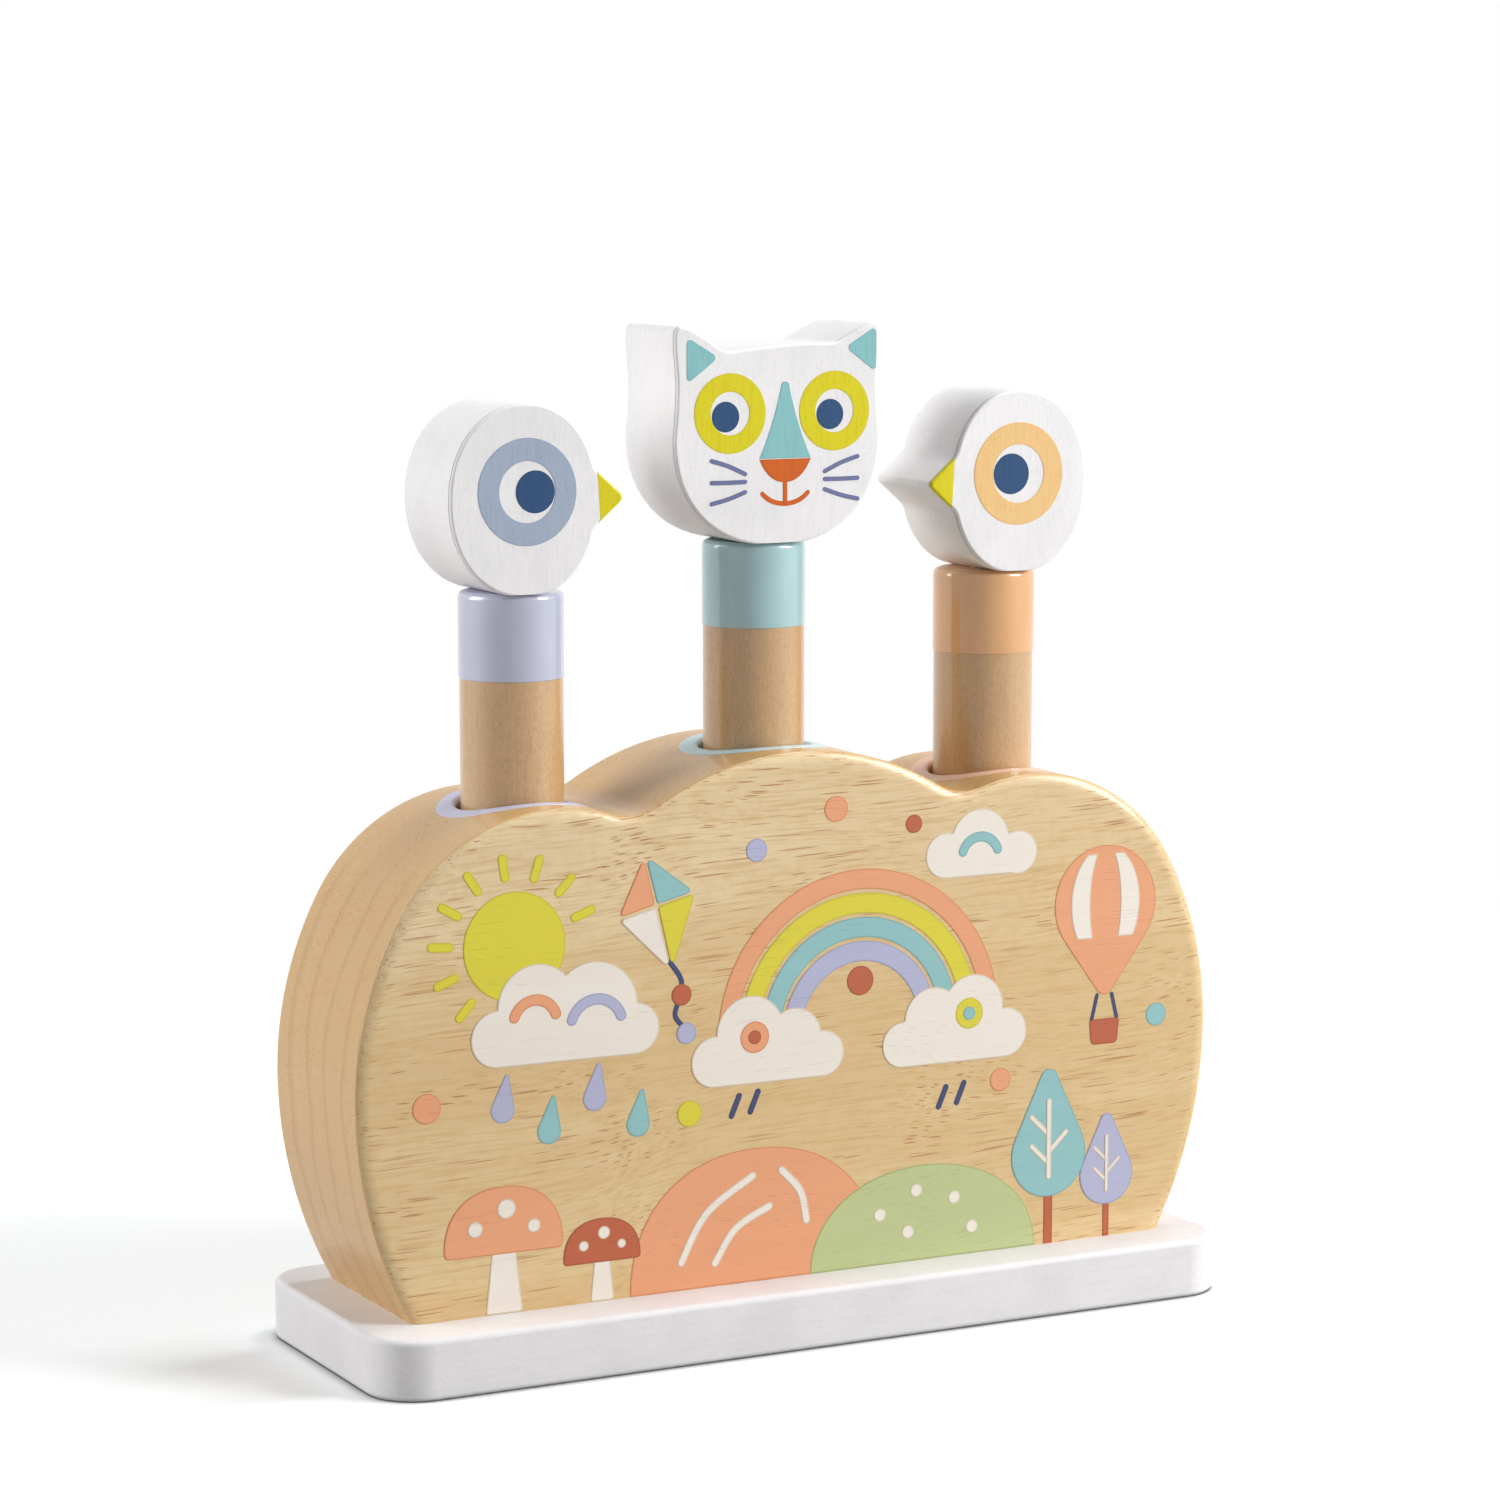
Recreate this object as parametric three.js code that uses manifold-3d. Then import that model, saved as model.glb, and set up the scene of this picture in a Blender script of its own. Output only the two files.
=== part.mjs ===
// Pop up animal toy: three wooden animal heads on round pegs, which stand on springs in the bores of a
// cloud-shaped block on a board. Sizes are millimetres. X runs along the front, the front faces -Y and Z is
// up. The origin lies under the middle of the board.

import * as THREE from 'three';
import { mergeVertices } from 'three/addons/utils/BufferGeometryUtils.js';
import Module from 'manifold-3d';

const wasm = await Module();
wasm.setup();

// Board: it follows the block's foot with these margins
const BOARD_THICKNESS = 12.9;
const BOARD_END_MARGIN = 11.3;
const BOARD_SIDE_MARGIN = 12.5;
const BOARD_CORNER_RADIUS = 11;
const BOARD_EDGE_RADIUS = 1.5;

// Cloud block: three lobes, joined by hollow valleys, with round flanks that tuck in at the foot. Its edges
// are eased more along the faces than into the depth.
const PEG_PITCH = 57;
const BLOCK_DEPTH = 45;
const BLOCK_EDGE_INSET = 3;
const BLOCK_EDGE_DEPTH = 1.3;
const SIDE_LOBE_TOP = 117.8;
const SIDE_LOBE_RADIUS = 40.7;
const SIDE_LOBE_BULGE = 4.6;
const CENTRE_LOBE_RISE = 8.4;
const CENTRE_LOBE_RADIUS = 65;
const VALLEY_RADIUS = 13;
const FLANK_RADIUS = 78;
const FOOT_TUCK = 11.8;

// Bores and the painted rings at their mouths
const BORE_DIAMETER = 24;
const BORE_FLOOR_THICKNESS = 8;
const MOUTH_RING_WIDTH = 4;

// Pegs: round sticks whose top end is lacquered
const PEG_DIAMETER = 21.8;
const PEG_LENGTH = 92.3;
const PEG_RIM_RADIUS = 1.2;
const BAND_LENGTH = 18;
const BAND_ABOVE_MOUTH = 25.1;
const PAINT_THICKNESS = 0.2;

// Neck pins between the pegs and the heads
const PIN_DIAMETER = 6;
const PIN_DEPTH = 10;
const PIN_CHAMFER = 0.5;

// Springs, the seats that hold their lower ends and the caps on their upper ends
const WIRE_DIAMETER = 1.2;
const COIL_DIAMETER = 18.6;
const COIL_COUNT = 9;
const DEAD_COIL_COUNT = 1;
const DEAD_COIL_GAP = 0.5;
const SEAT_THICKNESS = 3;
const CAP_THICKNESS = 3;
const STUB_HEIGHT = 3;
const STUB_CLEARANCE = 0.5;
const DISC_CLEARANCE = 0.5;
const SCREW_HEAD_ROOM = 1;

// Screws that hold the seats to the bore floors
const SEAT_SCREW_DIAMETER = 3;
const SEAT_SCREW_LENGTH = 9;
const SEAT_SCREW_HEAD_DIAMETER = 6;
const SEAT_SCREW_HEAD_HEIGHT = 1.9;
const SEAT_SCREW_POINT = 2;

// Screws that hold the board to the block, countersunk from below
const BOARD_SCREW_DIAMETER = 4;
const BOARD_SCREW_LENGTH = 30;
const BOARD_SCREW_HEAD_DIAMETER = 8;
const BOARD_SCREW_HEAD_HEIGHT = 2.6;
const BOARD_SCREW_SINK = 0.8;
const BOARD_SCREW_POINT = 4;

// Cross recesses in the screw heads
const CROSS_SLOT_WIDTH = 0.9;
const CROSS_SLOT_DEPTH = 1.2;
const CROSS_SLOT_SHARE = 0.58;

// Heads: boards with softly rounded edges, cut flat where they stand on the pegs
const HEAD_THICKNESS = 24;
const HEAD_EDGE_RADIUS = 0.6;
const HEAD_SEAT_CUT = 0.5;

// Bird's head: an oval, fuller at the beak's side, with a short pointed beak
const BIRD_HALF_HEIGHT = 19.8;
const BIRD_BACK_HALF = 17;
const BIRD_FRONT_HALF = 16.1;
const BIRD_OVAL_SHIFT = 1.7;
const BIRD_BACK_POWER = 2.1;
const BIRD_FRONT_POWER = 2.15;
const BEAK_TIP_REACH = 21.9;
const BEAK_ROOT_HALF = 6;
const BEAK_ROOT_BLEND = 1.5;
const BEAK_TIP_RADIUS = 1.2;

// Bird's printed face, with places counted from the oval's centre
const BIRD_RING_RADIUS = 11.1;
const BIRD_WHITE_RADIUS = 6.35;
const BIRD_PUPIL_RADIUS = 4.4;
const BIRD_RING_RISE = 1.8;
const BIRD_RING_SHIFT = 0.2;
const BIRD_PUPIL_SHIFT = 1.8;
const BEAK_PRINT_SETBACK = 0.8;

// Cat's head: a full half oval below and two ears above, where the crown dips before the left ear
const CAT_HALF_WIDTH = 24.4;
const CAT_CHIN_DROP = 22.9;
const CAT_CHIN_POWER = 2.2;
const CAT_EAR_RISE = 23.3;
const CAT_OUTLINE_SHIFT = -0.3;
const CAT_SIDE_SHARES = [
  [1, 0], [0.985, 0.16], [0.976, 0.31], [0.97, 0.49], [0.985, 0.69], [0.995, 0.83], [0.99, 0.94],
  [0.97, 0.985], [0.925, 1], [0.8, 0.955],
];
const CAT_RIGHT_CROWN_SHARES = [[0.67, 0.89], [0.57, 0.84], [0.46, 0.829], [0.2, 0.83]];
const CAT_LEFT_CROWN_SHARES = [[0.66, 0.87], [0.56, 0.8], [0.46, 0.773], [0.27, 0.791]];

// Cat's printed face, with places counted from the head's centre on the peg's axis
const CAT_EYE_SHIFT = 0.6;
const CAT_NOSE_SHIFT = 1.25;
const CAT_EYE_SPREAD = 12.4;
const CAT_EYE_RISE = 5.1;
const CAT_RING_RADIUS = 8.4;
const CAT_WHITE_RADIUS = 4.55;
const CAT_PUPIL_RADIUS = 3.2;
const CAT_PUPIL_SHIFT = 1.05;
const CAT_PUPIL_DROP = 0.7;
const CAT_BRIDGE_TOP = 11.5;
const CAT_BRIDGE_TIP_RADIUS = 0.95;
const CAT_BRIDGE_WAIST_SHARE = 0.43;
const CAT_NOSE_HALF_WIDTH = 6.1;
const CAT_NOSE_DROP = 4.6;
const CAT_NOSE_DEPTH = 4.9;
const CAT_NOSE_KNEE_SHARE = 0.65;
const CAT_MOUTH_HALF_WIDTH = 5.4;
const CAT_MOUTH_CORNER_DROP = 11.8;
const CAT_MOUTH_DROP = 14;
const CAT_LINE_WIDTH = 1.1;
const CAT_EAR_PATCH_OUTER = 22.5;
const CAT_EAR_PATCH_INNER = 15.1;
const CAT_EAR_PATCH_TOP = 22;
const CAT_EAR_PATCH_CORNER = 17.6;
const CAT_EAR_PATCH_FOOT = 12.2;
const CAT_EAR_PATCH_OFFSET = 0.8;
const PATCH_ROUND_SHARE = 0.1;
const WHISKER_WIDTH = 0.85;
const WHISKER_INNER = 9.5;
const WHISKER_OUTER = 17.4;
const WHISKER_INNER_DROPS = [7.65, 9.3, 11.45];
const WHISKER_OUTER_DROPS = [4.7, 9.3, 13.7];

// Running room round pins, screws and spring ends, and how far a cutter runs past what it cuts
const FIT_GAP = 0.15;
const CUT_OVERRUN = 5;

// How finely curves are divided
const ROUND_SEGMENTS = 32;
const SCREW_SEGMENTS = 16;
const ARC_STEP = THREE.MathUtils.degToRad(6);
const PRINT_ARC_STEP = THREE.MathUtils.degToRad(10);
const BLOCK_EDGE_STEPS = 3;
const FINE_EDGE_STEPS = 2;
const RIM_STEPS = 2;
const COIL_STEPS = 8;
const WIRE_SIDES = 5;
const PRINT_STEPS = 8;
const CROWN_STEPS = 72;

// Colours
const finish = (color, roughness, metalness = 0) =>
  new THREE.MeshStandardMaterial({ color, roughness, metalness, flatShading: true });
const MATERIALS = {
  blockWood: finish('#dfc18c', 0.5),
  pegWood: finish('#c9a26e', 0.55),
  pinWood: finish('#d6b483', 0.7),
  whitePaint: finish('#e9e7e8', 0.6),
  lilacLacquer: finish('#c3c8de', 0.25),
  turquoiseLacquer: finish('#a9cfd1', 0.25),
  peachLacquer: finish('#e5b07c', 0.25),
  lilacRing: finish('#c9cae4', 0.5),
  blueRing: finish('#c3dee6', 0.5),
  peachRing: finish('#f0c3ab', 0.5),
  greyBlueInk: finish('#a3b3c9', 0.6),
  peachInk: finish('#efc383', 0.6),
  limeInk: finish('#ddd12c', 0.6),
  turquoiseInk: finish('#86c4c5', 0.6),
  navyInk: finish('#3c5e88', 0.6),
  orangeInk: finish('#d2661f', 0.6),
  violetInk: finish('#7278a0', 0.6),
  springSteel: finish('#a8abad', 0.35, 1),
  screwZinc: finish('#c2c4c4', 0.35, 1),
  cupPlastic: finish('#efece4', 0.5),
};

// Basic operations on geometry

/** Removes normals, joins equal corners, drops flat triangles and turns the faces outwards. */
function closeUp(geometry) {
  const bare = new THREE.BufferGeometry();
  bare.setAttribute('position', geometry.getAttribute('position').clone());
  if (geometry.index) bare.setIndex(geometry.index.clone());
  const merged = mergeVertices(bare);
  const index = merged.index.array;
  const kept = [];
  for (let i = 0; i < index.length; i += 3) {
    const [a, b, c] = [index[i], index[i + 1], index[i + 2]];
    if (a !== b && b !== c && c !== a) kept.push(a, b, c);
  }
  const corner = (n) => new THREE.Vector3().fromBufferAttribute(merged.attributes.position, n);
  let volume = 0;
  for (let i = 0; i < kept.length; i += 3) {
    volume += corner(kept[i]).dot(corner(kept[i + 1]).cross(corner(kept[i + 2])));
  }
  if (volume < 0) kept.reverse();
  merged.setIndex(kept);
  return merged;
}

/** Turns a geometry a quarter round X, so that its Y becomes Z, without rounding any number. */
function standUp(geometry) {
  const position = geometry.getAttribute('position');
  for (let i = 0; i < position.count; i += 1) {
    position.setXYZ(i, position.getX(i), -position.getZ(i), position.getY(i));
  }
  return geometry;
}

function toSolid(geometry) {
  const closed = closeUp(geometry);
  return new wasm.Manifold(new wasm.Mesh({
    numProp: 3,
    vertProperties: new Float32Array(closed.attributes.position.array),
    triVerts: new Uint32Array(closed.index.array),
  }));
}

function fromSolid(solid) {
  const mesh = solid.getMesh();
  const geometry = new THREE.BufferGeometry();
  geometry.setAttribute('position', new THREE.BufferAttribute(new Float32Array(mesh.vertProperties), 3));
  geometry.setIndex(new THREE.BufferAttribute(new Uint32Array(mesh.triVerts), 1));
  return geometry;
}

/** Cuts each cutter out of a geometry. */
function cutOut(geometry, cutters) {
  return fromSolid(cutters.reduce((solid, cutter) => solid.subtract(toSolid(cutter)), toSolid(geometry)));
}

/** Turns a profile of [radius, height] pairs round Z. */
function turned(profile, segments = ROUND_SEGMENTS) {
  const points = profile.map(([radius, height]) => new THREE.Vector2(radius, height));
  return closeUp(standUp(new THREE.LatheGeometry(points, segments)));
}

/** Turns a ring, whose profile closes on itself, round Z. */
function turnedRing(profile, segments = ROUND_SEGMENTS) {
  return turned([...profile, profile[0]], segments);
}

function cylinder(radius, low, high, segments = ROUND_SEGMENTS) {
  return turned([[0, low], [radius, low], [radius, high], [0, high]], segments);
}

/** Extrudes a shape to a board of a thickness whose edges are rounded inside the shape. */
function board(shape, thickness, edgeDepth, edgeInset = edgeDepth, edgeSteps = FINE_EDGE_STEPS) {
  return new THREE.ExtrudeGeometry(shape, {
    depth: thickness - 2 * edgeDepth,
    bevelThickness: edgeDepth,
    bevelSize: edgeInset,
    bevelOffset: -edgeInset,
    bevelSegments: edgeSteps,
    curveSegments: PRINT_STEPS,
  }).translate(0, 0, edgeDepth);
}

/** Stands a board up, with its thickness centred on the plane Y = 0. */
function standingBoard(...measures) {
  const flat = board(...measures);
  flat.computeBoundingBox();
  return closeUp(standUp(flat.translate(0, 0, -flat.boundingBox.max.z / 2)));
}

/** A flat print of paint on the front face of a head. */
function print(shape, centre) {
  const film = new THREE.ExtrudeGeometry(shape, {
    depth: PAINT_THICKNESS,
    bevelEnabled: false,
    curveSegments: PRINT_STEPS,
  });
  film.translate(centre.x, centre.y, HEAD_THICKNESS / 2);
  return closeUp(standUp(film));
}

const point = (x, y) => new THREE.Vector2(x, y);

/** Points of a circular arc from one angle to another, both ends included. */
function arcInSteps(centre, radius, from, to, steps) {
  return Array.from({ length: steps + 1 }, (_, i) => {
    const angle = from + ((to - from) * i) / steps;
    return point(centre.x + radius * Math.cos(angle), centre.y + radius * Math.sin(angle));
  });
}

const arcPoints = (centre, radius, from, to, step = ARC_STEP) =>
  arcInSteps(centre, radius, from, to, Math.ceil(Math.abs(to - from) / step));
const coarseArc = (centre, radius, from, to) => arcInSteps(centre, radius, from, to, 2 * RIM_STEPS);

/** The point at one distance from a and another from b, on the left of the way from a to b. */
function meetingPoint(a, fromA, b, fromB) {
  const way = b.clone().sub(a);
  const span = way.length();
  const along = (fromA ** 2 - fromB ** 2 + span ** 2) / (2 * span);
  const aside = Math.sqrt(fromA ** 2 - along ** 2);
  way.divideScalar(span);
  return point(a.x + way.x * along - way.y * aside, a.y + way.y * along + way.x * aside);
}

const angleFrom = (centre, target) => Math.atan2(target.y - centre.y, target.x - centre.x);
const mirrored = (points) => points.map((p) => point(-p.x, p.y)).reverse();

// Sizes that follow from the driving ones

const blockHalfLength = PEG_PITCH + SIDE_LOBE_RADIUS + SIDE_LOBE_BULGE;
const centreLobeTop = SIDE_LOBE_TOP + CENTRE_LOBE_RISE;
const centreLobe = point(0, centreLobeTop - CENTRE_LOBE_RADIUS);
const sideLobe = point(PEG_PITCH, SIDE_LOBE_TOP - SIDE_LOBE_RADIUS);
const valley = meetingPoint(
  centreLobe,
  CENTRE_LOBE_RADIUS + VALLEY_RADIUS,
  sideLobe,
  SIDE_LOBE_RADIUS + VALLEY_RADIUS,
);
const flankAcross = blockHalfLength - FLANK_RADIUS - sideLobe.x;
const flankDown = Math.sqrt((FLANK_RADIUS - SIDE_LOBE_RADIUS) ** 2 - flankAcross ** 2);
const flank = point(blockHalfLength - FLANK_RADIUS, sideLobe.y - flankDown);
const footHalfLength = blockHalfLength - FOOT_TUCK;
const footRadius = ((flank.y - BOARD_THICKNESS) ** 2 + FOOT_TUCK ** 2) / (2 * FOOT_TUCK);
const foot = point(blockHalfLength - footRadius, flank.y);
const boardLength = 2 * (footHalfLength + BOARD_END_MARGIN);
const boardWidth = BLOCK_DEPTH + 2 * BOARD_SIDE_MARGIN;

const boreRadius = BORE_DIAMETER / 2;
const boreDepth = SIDE_LOBE_TOP - BOARD_THICKNESS - BORE_FLOOR_THICKNESS;
const pegRadius = PEG_DIAMETER / 2;
const pinRadius = PIN_DIAMETER / 2;
const discRadius = boreRadius - DISC_CLEARANCE;
const wireRadius = WIRE_DIAMETER / 2;
const coilRadius = COIL_DIAMETER / 2;
const coilInnerRadius = coilRadius * Math.cos(Math.PI / COIL_STEPS) - wireRadius;
const stubRadius = coilInnerRadius - STUB_CLEARANCE;
const pegDepth = PEG_LENGTH - BAND_LENGTH - BAND_ABOVE_MOUTH;
const springLength = boreDepth - pegDepth - SEAT_THICKNESS - CAP_THICKNESS;

const STATIONS = [
  { side: 'left', x: -PEG_PITCH, top: SIDE_LOBE_TOP, band: 'lilacLacquer', ring: 'lilacRing' },
  { side: 'centre', x: 0, top: centreLobeTop, band: 'turquoiseLacquer', ring: 'blueRing' },
  { side: 'right', x: PEG_PITCH, top: SIDE_LOBE_TOP, band: 'peachLacquer', ring: 'peachRing' },
];
const innerScrewX = PEG_PITCH / 2;
const endScrewX = (PEG_PITCH + boreRadius + footHalfLength) / 2;
const BOARD_SCREW_PLACES = [-endScrewX, -innerScrewX, innerScrewX, endScrewX];

// Board and block

function boardGeometry() {
  const x = boardLength / 2 - BOARD_CORNER_RADIUS;
  const y = boardWidth / 2 - BOARD_CORNER_RADIUS;
  const quarter = Math.PI / 2;
  const shape = new THREE.Shape([
    ...arcPoints(point(x, y), BOARD_CORNER_RADIUS, 0, quarter),
    ...arcPoints(point(-x, y), BOARD_CORNER_RADIUS, quarter, 2 * quarter),
    ...arcPoints(point(-x, -y), BOARD_CORNER_RADIUS, 2 * quarter, 3 * quarter),
    ...arcPoints(point(x, -y), BOARD_CORNER_RADIUS, 3 * quarter, 4 * quarter),
  ]);
  const holes = BOARD_SCREW_PLACES.map((place) => countersink().translate(place, 0, 0));
  return cutOut(board(shape, BOARD_THICKNESS, BOARD_EDGE_RADIUS), holes);
}

/** The hole in the board for a screw: a straight sink, the head's cone and the shank's room. */
function countersink() {
  const headRadius = BOARD_SCREW_HEAD_DIAMETER / 2 + FIT_GAP;
  const shankRadius = BOARD_SCREW_DIAMETER / 2 + FIT_GAP;
  return turned([
    [0, -CUT_OVERRUN],
    [headRadius, -CUT_OVERRUN],
    [headRadius, BOARD_SCREW_SINK],
    [shankRadius, BOARD_SCREW_SINK + BOARD_SCREW_HEAD_HEIGHT],
    [shankRadius, BOARD_THICKNESS + CUT_OVERRUN],
    [0, BOARD_THICKNESS + CUT_OVERRUN],
  ], SCREW_SEGMENTS);
}

/** The cloud's outline, from the middle of the top round the right end to the middle of the foot. */
function halfCloud() {
  const low = BOARD_THICKNESS - 2 * BLOCK_EDGE_INSET;
  const toSideLobe = angleFrom(valley, sideLobe);
  const toCentreLobe = angleFrom(valley, centreLobe);
  const fromFlank = angleFrom(flank, sideLobe);
  return [
    ...arcPoints(centreLobe, CENTRE_LOBE_RADIUS, Math.PI / 2, angleFrom(centreLobe, valley)),
    ...arcPoints(valley, VALLEY_RADIUS, toCentreLobe, toSideLobe).slice(1),
    ...arcPoints(sideLobe, SIDE_LOBE_RADIUS, angleFrom(sideLobe, valley), fromFlank).slice(1),
    ...arcPoints(flank, FLANK_RADIUS, fromFlank, 0).slice(1),
    ...arcPoints(foot, footRadius, 0, -Math.asin((foot.y - low) / footRadius)).slice(1),
  ];
}

function cloudBlank() {
  const right = halfCloud();
  const shape = new THREE.Shape([...right, ...mirrored(right).slice(0, -1)]);
  const blank = standingBoard(shape, BLOCK_DEPTH, BLOCK_EDGE_DEPTH, BLOCK_EDGE_INSET, BLOCK_EDGE_STEPS);
  const reach = 2 * (blockHalfLength + CUT_OVERRUN);
  const below = new THREE.BoxGeometry(reach, reach, BOARD_THICKNESS + CUT_OVERRUN);
  below.translate(0, 0, (BOARD_THICKNESS - CUT_OVERRUN) / 2);
  return cutOut(blank, [below]);
}

const blank = cloudBlank();

function blockGeometry() {
  const bores = STATIONS.flatMap(({ x, top }) => [
    cylinder(boreRadius, top - boreDepth, top + CUT_OVERRUN).translate(x, 0, 0),
    seatScrewHole(top - boreDepth).translate(x, 0, 0),
  ]);
  const screwHoles = BOARD_SCREW_PLACES.map((place) => {
    const shankRadius = BOARD_SCREW_DIAMETER / 2 + FIT_GAP;
    const end = BOARD_SCREW_SINK + BOARD_SCREW_LENGTH + FIT_GAP;
    return cylinder(shankRadius, BOARD_THICKNESS - CUT_OVERRUN, end, SCREW_SEGMENTS).translate(place, 0, 0);
  });
  return cutOut(blank, [...bores, ...screwHoles]);
}

function seatScrewHole(floor) {
  const depth = SEAT_SCREW_LENGTH - SEAT_THICKNESS + FIT_GAP;
  const radius = SEAT_SCREW_DIAMETER / 2 + FIT_GAP;
  return cylinder(radius, floor - depth, floor + CUT_OVERRUN, SCREW_SEGMENTS);
}

/** The film of paint round a bore's mouth, which follows the curve of the lobe. */
function mouthRingGeometry({ x, top }) {
  const outer = boreRadius + MOUTH_RING_WIDTH;
  const low = top - SIDE_LOBE_RADIUS;
  const high = top + CUT_OVERRUN;
  const sleeve = turnedRing([[boreRadius, low], [outer, low], [outer, high], [boreRadius, high]]);
  const raised = toSolid(blank.clone().translate(0, 0, PAINT_THICKNESS));
  return fromSolid(raised.subtract(toSolid(blank)).intersect(toSolid(sleeve.translate(x, 0, 0))));
}

// Screws

/** A countersunk or pan head with a point, standing on its head, and a cross recess. */
function screwGeometry(profile, headLow, headDiameter) {
  const reach = headDiameter * CROSS_SLOT_SHARE;
  const depth = CROSS_SLOT_DEPTH + CUT_OVERRUN;
  const middle = headLow + CROSS_SLOT_DEPTH - depth / 2;
  const slots = [
    new THREE.BoxGeometry(reach, CROSS_SLOT_WIDTH, depth).translate(0, 0, middle),
    new THREE.BoxGeometry(CROSS_SLOT_WIDTH, reach, depth).translate(0, 0, middle),
  ];
  return cutOut(turned(profile, SCREW_SEGMENTS), slots);
}

function boardScrewGeometry() {
  const shankRadius = BOARD_SCREW_DIAMETER / 2;
  const end = BOARD_SCREW_SINK + BOARD_SCREW_LENGTH;
  return screwGeometry([
    [0, BOARD_SCREW_SINK],
    [BOARD_SCREW_HEAD_DIAMETER / 2, BOARD_SCREW_SINK],
    [shankRadius, BOARD_SCREW_SINK + BOARD_SCREW_HEAD_HEIGHT],
    [shankRadius, end - BOARD_SCREW_POINT],
    [0, end],
  ], BOARD_SCREW_SINK, BOARD_SCREW_HEAD_DIAMETER);
}

/** The seat's screw, drawn head down like the board's and then turned over. */
function seatScrewGeometry() {
  const headRadius = SEAT_SCREW_HEAD_DIAMETER / 2;
  const shankRadius = SEAT_SCREW_DIAMETER / 2;
  const screw = screwGeometry([
    [0, -SEAT_SCREW_HEAD_HEIGHT],
    [headRadius, -SEAT_SCREW_HEAD_HEIGHT],
    [headRadius, 0],
    [shankRadius, 0],
    [shankRadius, SEAT_SCREW_LENGTH - SEAT_SCREW_POINT],
    [0, SEAT_SCREW_LENGTH],
  ], -SEAT_SCREW_HEAD_HEIGHT, SEAT_SCREW_HEAD_DIAMETER);
  return screw.scale(1, -1, -1);
}

// Spring, its seat and its cap

/** A disc with a ring-shaped stub that the lowest coil grips, bored for its screw. */
function seatGeometry() {
  const holeRadius = SEAT_SCREW_DIAMETER / 2 + FIT_GAP;
  const recessRadius = Math.min(
    SEAT_SCREW_HEAD_DIAMETER / 2 + SCREW_HEAD_ROOM,
    (stubRadius + SEAT_SCREW_HEAD_DIAMETER / 2) / 2,
  );
  return turnedRing([
    [holeRadius, 0],
    [discRadius, 0],
    [discRadius, SEAT_THICKNESS],
    [stubRadius, SEAT_THICKNESS],
    [stubRadius, SEAT_THICKNESS + STUB_HEIGHT],
    [recessRadius, SEAT_THICKNESS + STUB_HEIGHT],
    [recessRadius, SEAT_THICKNESS],
    [holeRadius, SEAT_THICKNESS],
  ]);
}

/** A disc that carries the peg, with a stub below that the top coil grips. */
function capGeometry() {
  return turned([
    [0, -STUB_HEIGHT],
    [stubRadius, -STUB_HEIGHT],
    [stubRadius, 0],
    [discRadius, 0],
    [discRadius, CAP_THICKNESS],
    [0, CAP_THICKNESS],
  ]);
}

/** Centre points of the spring's wire: dead coils at both ends and evenly open coils between them. */
function coilPath() {
  const rise = springLength - WIRE_DIAMETER - 2 * FIT_GAP;
  const deadRise = DEAD_COIL_COUNT * (WIRE_DIAMETER + DEAD_COIL_GAP);
  const openRise = rise - 2 * deadRise;
  const openCoils = COIL_COUNT - 2 * DEAD_COIL_COUNT;
  return Array.from({ length: COIL_COUNT * COIL_STEPS + 1 }, (_, i) => {
    const turns = i / COIL_STEPS;
    const lower = Math.min(turns, DEAD_COIL_COUNT) / DEAD_COIL_COUNT;
    const upper = Math.max(turns - DEAD_COIL_COUNT - openCoils, 0) / DEAD_COIL_COUNT;
    const open = THREE.MathUtils.clamp((turns - DEAD_COIL_COUNT) / openCoils, 0, 1);
    const angle = 2 * Math.PI * turns;
    return new THREE.Vector3(
      coilRadius * Math.cos(angle),
      coilRadius * Math.sin(angle),
      wireRadius + FIT_GAP + deadRise * (lower + upper) + openRise * open,
    );
  });
}

/** A tube of few sides along the coil's points, closed by flat ends. */
function springGeometry() {
  const path = coilPath();
  const up = new THREE.Vector3(0, 0, 1);
  const corners = [];
  path.forEach((centre) => {
    const out = new THREE.Vector3(centre.x, centre.y, 0).normalize();
    for (let side = 0; side < WIRE_SIDES; side += 1) {
      const angle = (2 * Math.PI * side) / WIRE_SIDES;
      const corner = centre.clone().addScaledVector(out, wireRadius * Math.cos(angle));
      corners.push(...corner.addScaledVector(up, wireRadius * Math.sin(angle)).toArray());
    }
  });
  const faces = [];
  for (let ring = 0; ring < path.length - 1; ring += 1) {
    for (let side = 0; side < WIRE_SIDES; side += 1) {
      const next = (side + 1) % WIRE_SIDES;
      const [a, b] = [ring * WIRE_SIDES + side, ring * WIRE_SIDES + next];
      faces.push(a, a + WIRE_SIDES, b, b, a + WIRE_SIDES, b + WIRE_SIDES);
    }
  }
  const last = (path.length - 1) * WIRE_SIDES;
  for (let side = 1; side < WIRE_SIDES - 1; side += 1) {
    faces.push(0, side, side + 1, last, last + side + 1, last + side);
  }
  const geometry = new THREE.BufferGeometry();
  geometry.setAttribute('position', new THREE.Float32BufferAttribute(corners, 3));
  geometry.setIndex(faces);
  return closeUp(geometry);
}

/** The least gap between one coil of the wire and the next, measured on the path's points. */
function leastCoilGap() {
  const path = coilPath();
  const gaps = path.slice(COIL_STEPS).map((centre, i) => centre.distanceTo(path[i]) - WIRE_DIAMETER);
  return Math.min(...gaps);
}

// Pegs

/** A quarter round, as [radius, height] pairs, from the side of a stick to its top. */
function rimProfile(radius, height, rimRadius) {
  return Array.from({ length: RIM_STEPS + 1 }, (_, i) => {
    const angle = (Math.PI / 2) * (i / RIM_STEPS);
    return [
      radius - rimRadius + rimRadius * Math.cos(angle),
      height - rimRadius + rimRadius * Math.sin(angle),
    ];
  });
}

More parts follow.
